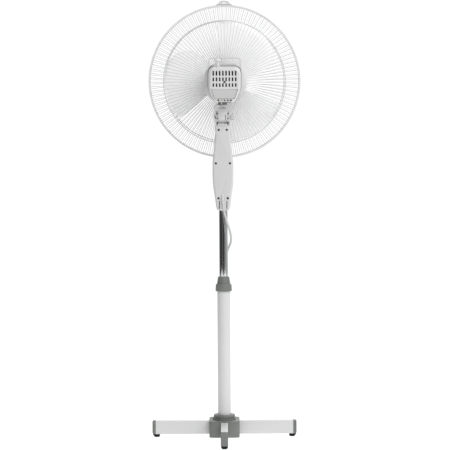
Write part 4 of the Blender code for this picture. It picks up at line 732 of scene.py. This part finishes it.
def impeller():
    cup = rounded([(0.0045, 0.102), (0.0385, 0.102), (0.045, 0.0965), (0.045, 0.0545), (0.0428, 0.0545),
                   (0.0428, 0.0945), (0.038, 0.0992), (0.009, 0.0992), (0.009, 0.0585), (0.0045, 0.0585)],
                  0.0022, 4, True)
    shapes = [moved(spun(cup, 96, True), ALONG_Y)]
    for i in range(6):
        turn = Matrix.Rotation(2 * math.pi * (i + 0.5) / 6, 4, "Y")
        shapes.append(moved(brick((0.0085, 0.066, -0.0008), (0.0435, 0.0996, 0.0008)), turn))
    one = blade()
    shapes += [moved(one, turn) for turn in turns(3, "Y")]
    piece("fan_blades", merged(*shapes), MOTOR, "rotor", "blade_plastic", ("impeller",), 50)
    spinner = rounded([(0, 0.016), (0.0085, 0.0155), (0.0160, 0.0110), (0.0194, 0.003), (0.0199, 0),
                       (0.0043, 0), (0.0043, 0.0095), (0, 0.0095)], 0.0012, 3)
    ribs = [moved(brick((0.0178, -0.0006, 0.0006), (0.0199, 0.0006, 0.0060)), turn) for turn in turns(24)]
    piece("spinner", merged(spun(spinner, 72), *ribs), MOTOR @ Matrix.Translation((0, 0.1023, 0)) @ ALONG_Y,
          "rotor", "grey_plastic", ("blade_nut",))


# ------------------------------------------------------------------ motor cover and housing

def scaled(outline, distance):
    """An outline whose sides come in by this distance, about its middle."""
    left, right = min(x for x, _ in outline), max(x for x, _ in outline)
    low, high = min(z for _, z in outline), max(z for _, z in outline)
    cx, cz = (left + right) / 2, (low + high) / 2
    kx, kz = 1 - 2 * distance / (right - left), 1 - 2 * distance / (high - low)
    return [(cx + (x - cx) * kx, cz + (z - cz) * kz) for x, z in outline]


def cover_line():
    """The cover seen from behind, with every corner rounded."""
    right = [(0, -0.055), (0.0266, -0.055), (0.0314, -0.0498), (0.0397, -0.034), (0.0464, -0.0165),
             (0.0466, 0.0462), (0, 0.0462)]
    bends = {1: 0.004, 2: 0.006, 3: 0.012, 4: 0.014, 5: 0.0215}
    out = []
    for i in range(1, len(right) - 1):
        at = Vector(right[i])
        before, after = Vector(right[i - 1]) - at, Vector(right[i + 1]) - at
        reach = min(bends[i], before.length * 0.48, after.length * 0.48)
        out += bend(at + before.normalized() * reach, at, at + after.normalized() * reach, 8)
    return out + [(-x, z) for x, z in reversed(out)]


def paint_inner_shade(made, in_shade):
    """Black as painted shade on the faces that a test of middle and normal picks, in the motor's frame."""
    back = MOTOR.inverted()
    made.data.materials.append(LOOKS["black_plastic"].made)
    for face in made.data.polygons:
        if in_shade(back @ face.center, back.to_3x3() @ face.normal):
            face.material_index = 1


def inward(at, way):
    return way.x * at.x + way.z * at.z < -1e-5


def cover():
    line = cover_line()
    outer = [(line, -0.0303), (scaled(line, 0.0004), -0.0320), (scaled(line, 0.0009), -0.100),
             (scaled(line, 0.0013), -0.114)]
    for k in range(1, 7):
        t = math.pi / 2 * k / 6
        outer.append((scaled(line, 0.0013 + 0.0072 * (1 - math.cos(t))), -0.114 - 0.011 * math.sin(t)))
    inner = [(scaled(line, WALL), -0.025), (scaled(line, WALL + 0.0008), -0.114),
             (scaled(line, WALL + 0.0060), -0.1228)]
    cuts = [shell(inner)]
    for z, height in ((0.0274, 0.0132), (0.0108, 0.0105), (-0.0049, 0.0097)):
        for i in range(8):
            x = (i - 3.5) * 0.0088
            half, tall = 0.0021, height / 2
            cuts.append(slab(framed(x - half, z - tall, x + half, z + tall, 0.0007), -0.135, -0.117))
    for i in range(5):
        cuts.append(moved(pin(0.0027, -0.105, -0.14, 20),
                          Matrix.Translation(((i - 2) * 0.0086, 0, -0.0468)) @ ALONG_Y))
    panel = rounded([(-0.0368, -0.0157), (0.0368, -0.0157), (0.0290, -0.0420), (0.0262, -0.0432),
                     (-0.0262, -0.0432), (-0.0290, -0.0420)], 0.003, 4, True)
    small = [(x * 0.972, -0.0296 + (z + 0.0296) * 0.93) for x, z in panel]
    cuts.append(shell([(panel, -0.13), (panel, -0.1248), (small, -0.1236)]))
    cuts.append(moved(pin(0.0018, -0.12, -0.14, 20), Matrix.Translation((0, 0, 0.0034)) @ ALONG_Y))
    cuts.append(moved(pin(0.0056, 0.02, 0.07, 40), Matrix.Translation((*WORM_WHEEL, 0))))
    cuts.append(brick((-0.0175, -0.1215, -0.062), (0.0180, -0.045, -0.0512)))
    mesh = carved(shell(outer), cuts)
    mesh.transform(MOTOR)

    # The walls of the slots and vents and the inside of the cover are painted black as shade.
    def in_shade(at, way):
        slotted = abs(at.x) < 0.034 and -0.0100 < at.z < 0.0345 and abs(way.y) < 0.5
        vented = abs(at.x) < 0.0210 and abs(at.z + 0.0468) < 0.0030 and abs(way.y) < 0.5
        return at.y > -0.1246 and (inward(at, way) or slotted or vented or way.y > 0.9)

    paint_inner_shade(dress("motor_cover", mesh, "head", "casing", ("rear_cover",), 30), in_shade)
    # A black band round the seam between cover and housing: painted shade of the gap there.
    rim = [scaled(line, -0.0011), scaled(line, -0.0011), scaled(line, 0.0012), scaled(line, 0.0012)]
    seam_shade = band([level(o, y) for o, y in zip(rim, (-0.0316, -0.0292, -0.0292, -0.0316))])
    piece("cover_seam_shade", seam_shade, MOTOR, "head", "black_plastic")
    screw_head("cover_screw_head", MOTOR @ Matrix.Translation((0, -0.1253, 0.0034)) @ BACKWARDS,
               "head", 0.0018, 0.019, "cover_screw")
    stem = rounded([(0, 0.0655), (0.0065, 0.0655), (0.0085, 0.0640), (0.0085, 0.0605), (0.0055, 0.0600),
                    (0.0050, 0.0580), (0.0050, 0.0305), (0, 0.0305)], 0.0008, 3)
    grips = [moved(brick((0.0080, -0.0005, 0.0609), (0.0086, 0.0005, 0.0638)), turn) for turn in turns(28)]
    piece("swing_knob", merged(spun(stem, 56), *grips), MOTOR @ Matrix.Translation((*WORM_WHEEL, 0)),
          "pull_knob", "clear_casing", ("oscillation_knob",))


def screw_head(name, place, body, height, length, node, radius=0.0030):
    """A pan head with a cross recess, on a threaded shank."""
    shape = spun(rounded([(0, height), (radius * 0.75, height * 0.9), (radius, height * 0.35), (radius, 0),
                          (0.0015, 0), (0.0015, -length), (0, -length)], 0.0003, 2), 28)
    bars = [brick((-0.0016, -0.0004, height - 0.0010), (0.0016, 0.0004, height + 0.001)),
            brick((-0.0004, -0.0016, height - 0.0010), (0.0004, 0.0016, height + 0.001))]
    mesh = carved(shape, bars)
    mesh.transform(place)
    return dress(name, mesh, body, "dark_steel", (node,))


def housing():
    line = cover_line()

    def round_line(radius):
        angles = [math.atan2(z, x) for x, z in line]
        return [(radius * math.cos(turn), radius * math.sin(turn)) for turn in angles]

    def between(t, radius):
        ease = t * t * (3 - 2 * t)
        return [(x + (u - x) * ease, z + (v - z) * ease) for (x, z), (u, v) in zip(line, round_line(radius))]

    outer = [(scaled(line, 0.0006), -0.0298), (scaled(line, -0.0), -0.0290), (line, -0.0150)]
    outer += [(between(k / 8, FLANGE), -0.015 + 0.033 * k / 8) for k in range(1, 9)]
    outer += [(round_line(FLANGE), 0.0340), (round_line(0.0611), 0.0361), (round_line(0.0592), 0.0370),
              (round_line(0.0190), 0.0370), (round_line(0.0180), 0.0378), (round_line(0.0180), 0.0518),
              (round_line(0.0173), 0.0525), (round_line(0.0158), 0.0525)]
    waist = [(x * 0.955, z * 0.955) for x, z in between(0.5, FLANGE)]
    inner = [(scaled(line, WALL), -0.035), (scaled(line, WALL), -0.014), (waist, 0.0015),
             (round_line(FLANGE - WALL), 0.0185), (round_line(FLANGE - WALL), 0.0345),
             (round_line(0.0155), 0.0345), (round_line(0.0155), 0.060)]
    foot, half, top, corner, thick = 0.0282, 0.0462, 0.0695, 0.009, 0.0030
    strap = [(half, foot), (half, top), (-half, top), (-half, foot)]
    under = [(-half + thick, foot), (-half + thick, top - thick), (half - thick, top - thick),
             (half - thick, foot)]
    loop = rounded(strap, corner, 6) + rounded(under, corner - thick * 0.6, 6)
    near, far = -0.0270, -0.0140
    handle = slab(loop, near + 0.0006, far - 0.0006)
    cuts = [shell(inner), brick((-0.022, -0.045, -0.072), (0.016, 0.0145, -0.040))]
    mesh = carved(shell(outer), cuts, [handle])
    mesh.transform(MOTOR)
    # The inside of the housing is painted black as shade.
    paint_inner_shade(dress("motor_housing", mesh, "head", "casing", ("front_housing",), 32),
             lambda at, way: at.z < 0.047 and inward(at, way) and -0.029 < at.y < 0.030)


# ------------------------------------------------------------------ control box

BOX_STATIONS = [(0.645, 0.0172), (0.658, 0.0202), (0.679, 0.0226), (0.711, 0.0275), (0.742, 0.0295),
                (0.778, 0.0295), (0.838, 0.0235), (0.866, 0.0214), (0.887, 0.0217)]
BOX_SCREWS = {"upper": (0.0115, 0.8735), "middle": (0.0200, 0.7785), "lower": (0.0130, 0.6795)}
SEAM, SCREW_SEAT = -0.012, -0.0233


def box_line():
    """The control box seen from behind, with smooth flanks and round corners."""
    flank = [(p.x, p.y) for p in smooth([Vector((x, z, 0)) for z, x in BOX_STATIONS], 0.005)]
    flank = [(min(x, 0.0296), z) for x, z in flank if 0.6515 < z < 0.8845]
    right = bend((0.0112, 0.645), (0.0178, 0.645), flank[0]) + flank[1:]
    right += bend((0.0217, 0.8848), (0.0217, 0.887), (0.0195, 0.887), 4)
    return right + [(-x, z) for x, z in reversed(right)]


def box_half(seam, face, crown, cuts, joins):
    """Half of the control box: an open shell with a rounded face."""
    line = box_line()
    way = 1 if face > seam else -1
    outer = [(scaled(line, 0.0005), seam), (line, seam + way * 0.0006), (line, face - way * crown)]
    for k in range(1, 8):
        t = math.pi / 2 * k / 7
        outer.append((scaled(line, 0.0062 * (1 - math.cos(t))), face - way * crown * (1 - math.sin(t))))
    inside_line = scaled(line, WALL)
    inner = [(scaled(line, WALL + 0.006), face - way * WALL), (inside_line, face - way * crown),
             (inside_line, seam)]
    return carved(shell(inner + outer), cuts, joins)


def pillar(radius, x, z, start, end):
    return moved(pin(radius, start, end, 32), Matrix.Translation((x, 0, z)) @ ALONG_Y)


def swollen(node, extra):
    """The room that a CAD node needs: its own shape, a little larger."""
    work = bmesh.new()
    work.from_mesh(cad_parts[node].data)
    bmesh.ops.remove_doubles(work, verts=work.verts, dist=2e-6)
    work.normal_update()
    points = [v.co + v.normal * extra for v in work.verts]
    faces = [tuple(v.index for v in f.verts) for f in work.faces]
    work.free()
    return points, faces


def control_box():
    tube_room = pin(0.0128, 0.63, 0.7153, 64)
    fork_room = brick((-0.0191, -0.0183, 0.8797), (0.0191, 0.0183, 0.92))
    boot_room = moved(swollen("cord_gland", 0.0003), COLUMN.inverted())
    cuts, joins, front_cuts, front_joins = [tube_room, fork_room, boot_room], [], [tube_room, fork_room], []
    for x, z in ((s * x, z) for x, z in BOX_SCREWS.values() for s in (-1, 1)):
        joins.append(pillar(0.0046, x, z, -0.0285, SEAM - 0.0002))
        cuts.append(pillar(0.0033, x, z, -0.0400, SCREW_SEAT))
        cuts.append(pillar(0.0017, x, z, -0.0300, 0.0))
        front_joins.append(pillar(0.0040, x, z, SEAM + 0.0004, 0.0300))
        front_cuts.append(pillar(0.0016, x, z, -0.0200, -0.0050))
    for side in (-1, 1):
        x = side * 0.0106
        cuts.append(slab(framed(x - 0.0011, 0.6495, x + 0.0011, 0.6725, 0.0007), -0.04, -0.020))
    front_cuts.append(slab(framed(-0.0224, 0.7424, 0.0224, 0.7616, 0.001, 3), 0.026, 0.04))
    back = box_half(SEAM, -0.030, 0.007, cuts, joins)
    front = box_half(SEAM + 0.0003, 0.032, 0.009, front_cuts, front_joins)
    for side, mesh in (("back", back), ("front", front)):
        mesh.transform(COLUMN)
        dress("box_" + side, mesh, "stem", "casing", ("control_box_" + side,), 32)
    for row, (x, z) in BOX_SCREWS.items():
        for side, way in (("left", -1), ("right", 1)):
            place = COLUMN @ Matrix.Translation((way * x, SCREW_SEAT - 0.0003, z)) @ BACKWARDS
            screw_head(f"screw_{row}_{side}", place, "stem", 0.0020, 0.0170, f"box_screw_{row}_{side}")
    for key in ("stop", "low", "medium", "high"):
        refined("key_" + key, f"key_{key}_body", "key_plastic", 0.0008, 3)


def boot():
    """The strain relief, with ribs round it."""
    top, end = COLUMN @ BOOT_TOP, COLUMN @ BOOT_END
    along = end - top
    spread = {}
    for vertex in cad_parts["cord_gland"].data.vertices:
        t = (vertex.co - top).dot(along) / along.length_squared
        key = round(t * 8)
        spread[key] = max(spread.get(key, 0), (vertex.co - top - along * t).length)
    wide, narrow = spread[min(spread)], spread[max(spread)]
    refined("cord_gland", "stem", "casing", 0.0004)
    ribs = []
    turn = along.to_track_quat("Z", "Y").to_matrix().to_4x4()
    for i in range(5):
        t = 0.40 + 0.11 * i
        radius = wide + (narrow - wide) * t
        root, crest = radius - 0.0008, radius + 0.0006
        ring = rounded([(root, -0.0007), (crest, -0.0006), (crest, 0.0006), (root, 0.0007)], 0.0004, 2, True)
        ribs.append(moved(spun(ring, 40, True), Matrix.Translation(top + along * t) @ turn))
    piece("boot_ribs", merged(*ribs), PLAIN, "stem", "casing")


# ------------------------------------------------------------------ neck, pole and base

def reach_of(node):
    """The lowest and highest corners of a CAD node."""
    corners = [v.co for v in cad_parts[node].data.vertices]
    return [Vector([pick(c[i] for c in corners) for i in range(3)]) for pick in (min, max)]


def neck():
    refined("tilt_fork", "stem", "casing", 0.0008, 3)
    refined("tilt_bolt", "stem", "steel", 0.0004)
    # Black slabs on the fork ears: painted shade of the gaps between the ears and the neck.
    gap_shades = []
    for x in (-0.0152, 0.0152):
        for z, near, half in ((0.9200, -0.0164, 0.0026), (0.9065, -0.0182, 0.0014),
                              (0.8935, -0.0183, 0.0040)):
            gap_shades.append(slab(framed(x - 0.0020, z - half, x + 0.0020, z + half, 0.0006), near,
                                near + 0.0025))
    piece("fork_gap_shade", merged(*gap_shades), COLUMN, "stem", "black_plastic")
    # A black strip along the neck block: painted shade of the gap between the neck block and the fork.
    angles = [math.radians(a) for a in range(-24, 29, 4)]
    sweep = [(0.0079, -0.0176 * math.cos(t), 0.0176 * math.sin(t)) for t in angles]
    piece("neck_groove_shade", tube(sweep, 0.0008, 8), NECK, "neck", "black_plastic")
    refined("neck_block", "neck", "clear_casing", 0.0007, 3)
    refined("drag_link", "link", "zinc", 0.0003)
    refined("tilt_knob", "tilt_knob_body", "casing", 0.0008, 3)
    high = reach_of("tilt_knob")[1].x
    rib = tube([(high - 0.0080, 0.0077, 0), (high - 0.0012, 0.0077, 0)], 0.0005, 6)
    ribs = merged(*(moved(rib, turn) for turn in turns(20, "X")))
    piece("tilt_knob_grip", moved(ribs, Matrix.Translation((0, 0, TILT.z))), PLAIN, "tilt_knob_body",
          "casing")


def pole():
    low, high = reach_of("outer_tube")
    wall = rounded([(0.0185, low.z), (0.0185, high.z), (0.0173, high.z), (0.0173, low.z + 0.025),
                    (0.0045, low.z + 0.025), (0.0045, low.z)], 0.0005, 3, True)
    piece("pole_tube", spun(wall, 96, True), COLUMN, "base", "white_paint", ("outer_tube",))
    low, high = reach_of("inner_tube")
    wall = rounded([(0.0125, low.z), (0.0125, high.z), (0.0115, high.z), (0.0115, low.z)], 0.0003, 3, True)
    piece("chrome_tube", spun(wall, 128, True), COLUMN, "stem", "chrome", ("inner_tube",))
    low, high = reach_of("clamp_nut")
    shoulder = low.z + 0.0205
    outline = rounded([(0.0230, low.z), (0.0218, shoulder), (0.0188, shoulder), (0.0155, high.z),
                       (0.0146, high.z), (0.0168, shoulder + 0.0045), (0.0168, shoulder - 0.0050),
                       (0.0188, shoulder - 0.0065), (0.0188, low.z)], 0.0010, 3, True)
    ribs = []
    for turn in turns(30):
        ribs.append(moved(tube([(0.0226, 0, low.z + 0.0020), (0.0217, 0, shoulder - 0.0022)], 0.0007, 6),
                          turn))
        ribs.append(moved(tube([(0.0182, 0, shoulder + 0.0015), (0.0157, 0, high.z - 0.0022)], 0.0006, 6),
                          turn))
    piece("height_nut", merged(spun(outline, 96, True), *ribs), COLUMN, "clamp", "grey_plastic",
          ("clamp_nut",))
    refined("collet_sleeve", "base", "grey_plastic", 0.0003)
    refined("tube_guide", "stem", "black_rubber", 0.0004)


PAD_TOP = 0.0086  # the feet are rubber below this height


def base():
    for leg in ("leg_lateral", "leg_fore_aft"):
        refined(leg, "base", "white_paint", 0.0016, 4)
    refined("hub_cover", "base", "grey_plastic", 0.0022, 4)
    refined("hub_ring", "base", "grey_plastic", 0.0010, 3)
    refined("base_bolt", "base", "steel", 0.0004)
    for leg, across in (("leg_lateral", 0), ("leg_fore_aft", 1)):
        low, high = reach_of(leg)
        half = (high[1 - across] - low[1 - across]) / 2 + 0.0004
        middle = (high[1 - across] + low[1 - across]) / 2
        z0, z1 = low.z - 0.0002, high.z + 0.0005
        loop = framed(middle - half, z0, middle + half, z1, 0.0022, 4)
        hole = framed(middle - half + 0.001, z0 + 0.001, middle + half - 0.001, z1 - 0.001, 0.0018, 4)
        for end, way in ((low[across], 1), (high[across], -1)):
            start, stop = end + way * 0.0002, end + way * 0.0052
            bulge = scaled(loop, -0.00005)
            rings = [(hole, start), (loop, start), (bulge, (start + stop) / 2), (loop, stop), (hole, stop)]
            rings = [[(d, a, b) if across == 0 else (a, d, b) for a, b in o] for o, d in rings]
            piece(f"{leg}_sleeve_{way}", band(rings), PLAIN, "base", "cap_plastic")
    for side in ("right", "front", "left", "back"):
        node = "leg_foot_" + side
        cap = refined(node, "base", "cap_plastic", 0.0007, 3)
        pad = cap.data.copy()
        for mesh, above in ((cap.data, True), (pad, False)):
            work = bmesh.new()
            work.from_mesh(mesh)
            everything = [*work.verts, *work.edges, *work.faces]
            bmesh.ops.bisect_plane(work, geom=everything, plane_co=(0, 0, PAD_TOP), plane_no=(0, 0, 1))
            far = [f for f in work.faces if (f.calc_center_median().z > PAD_TOP) != above]
            bmesh.ops.delete(work, geom=far, context="FACES")
            work.to_mesh(mesh)
            work.free()
        made = added(node + "_pad", pad)
        pad.materials.clear()
        pad.materials.append(LOOKS["black_rubber"].made)
        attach(made, "base")


def inside():
    """The pieces behind the covers."""
    for node, body, look, width in (
        ("key_switch", "stem", "black_plastic", 0.0005), ("run_capacitor", "stem", "black_plastic", 0.0010),
        ("motor_bracket", "head", "cast_aluminium", 0.0005), ("motor_stator", "head", "lamination", 0.0003),
        ("stator_windings", "head", "copper", 0.0006), ("end_bell_front", "head", "cast_aluminium", 0.0004),
        ("end_bell_rear", "head", "cast_aluminium", 0.0004), ("bearing_front", "head", "bronze", 0.0003),
        ("bearing_rear", "head", "bronze", 0.0003), ("rim_clip", "head", "casing", 0.0006),
        ("worm_wheel", "wheel", "nylon", 0.0002), ("crank_gear", "crank", "nylon", 0.0003),
        ("rotor_shaft", "rotor", "steel", 0.0003),
    ):
        refined(node, body, look, width)


camera()
studio()
cord()
guards()
rim()
impeller()
cover()
housing()
control_box()
boot()
neck()
pole()
base()
inside()
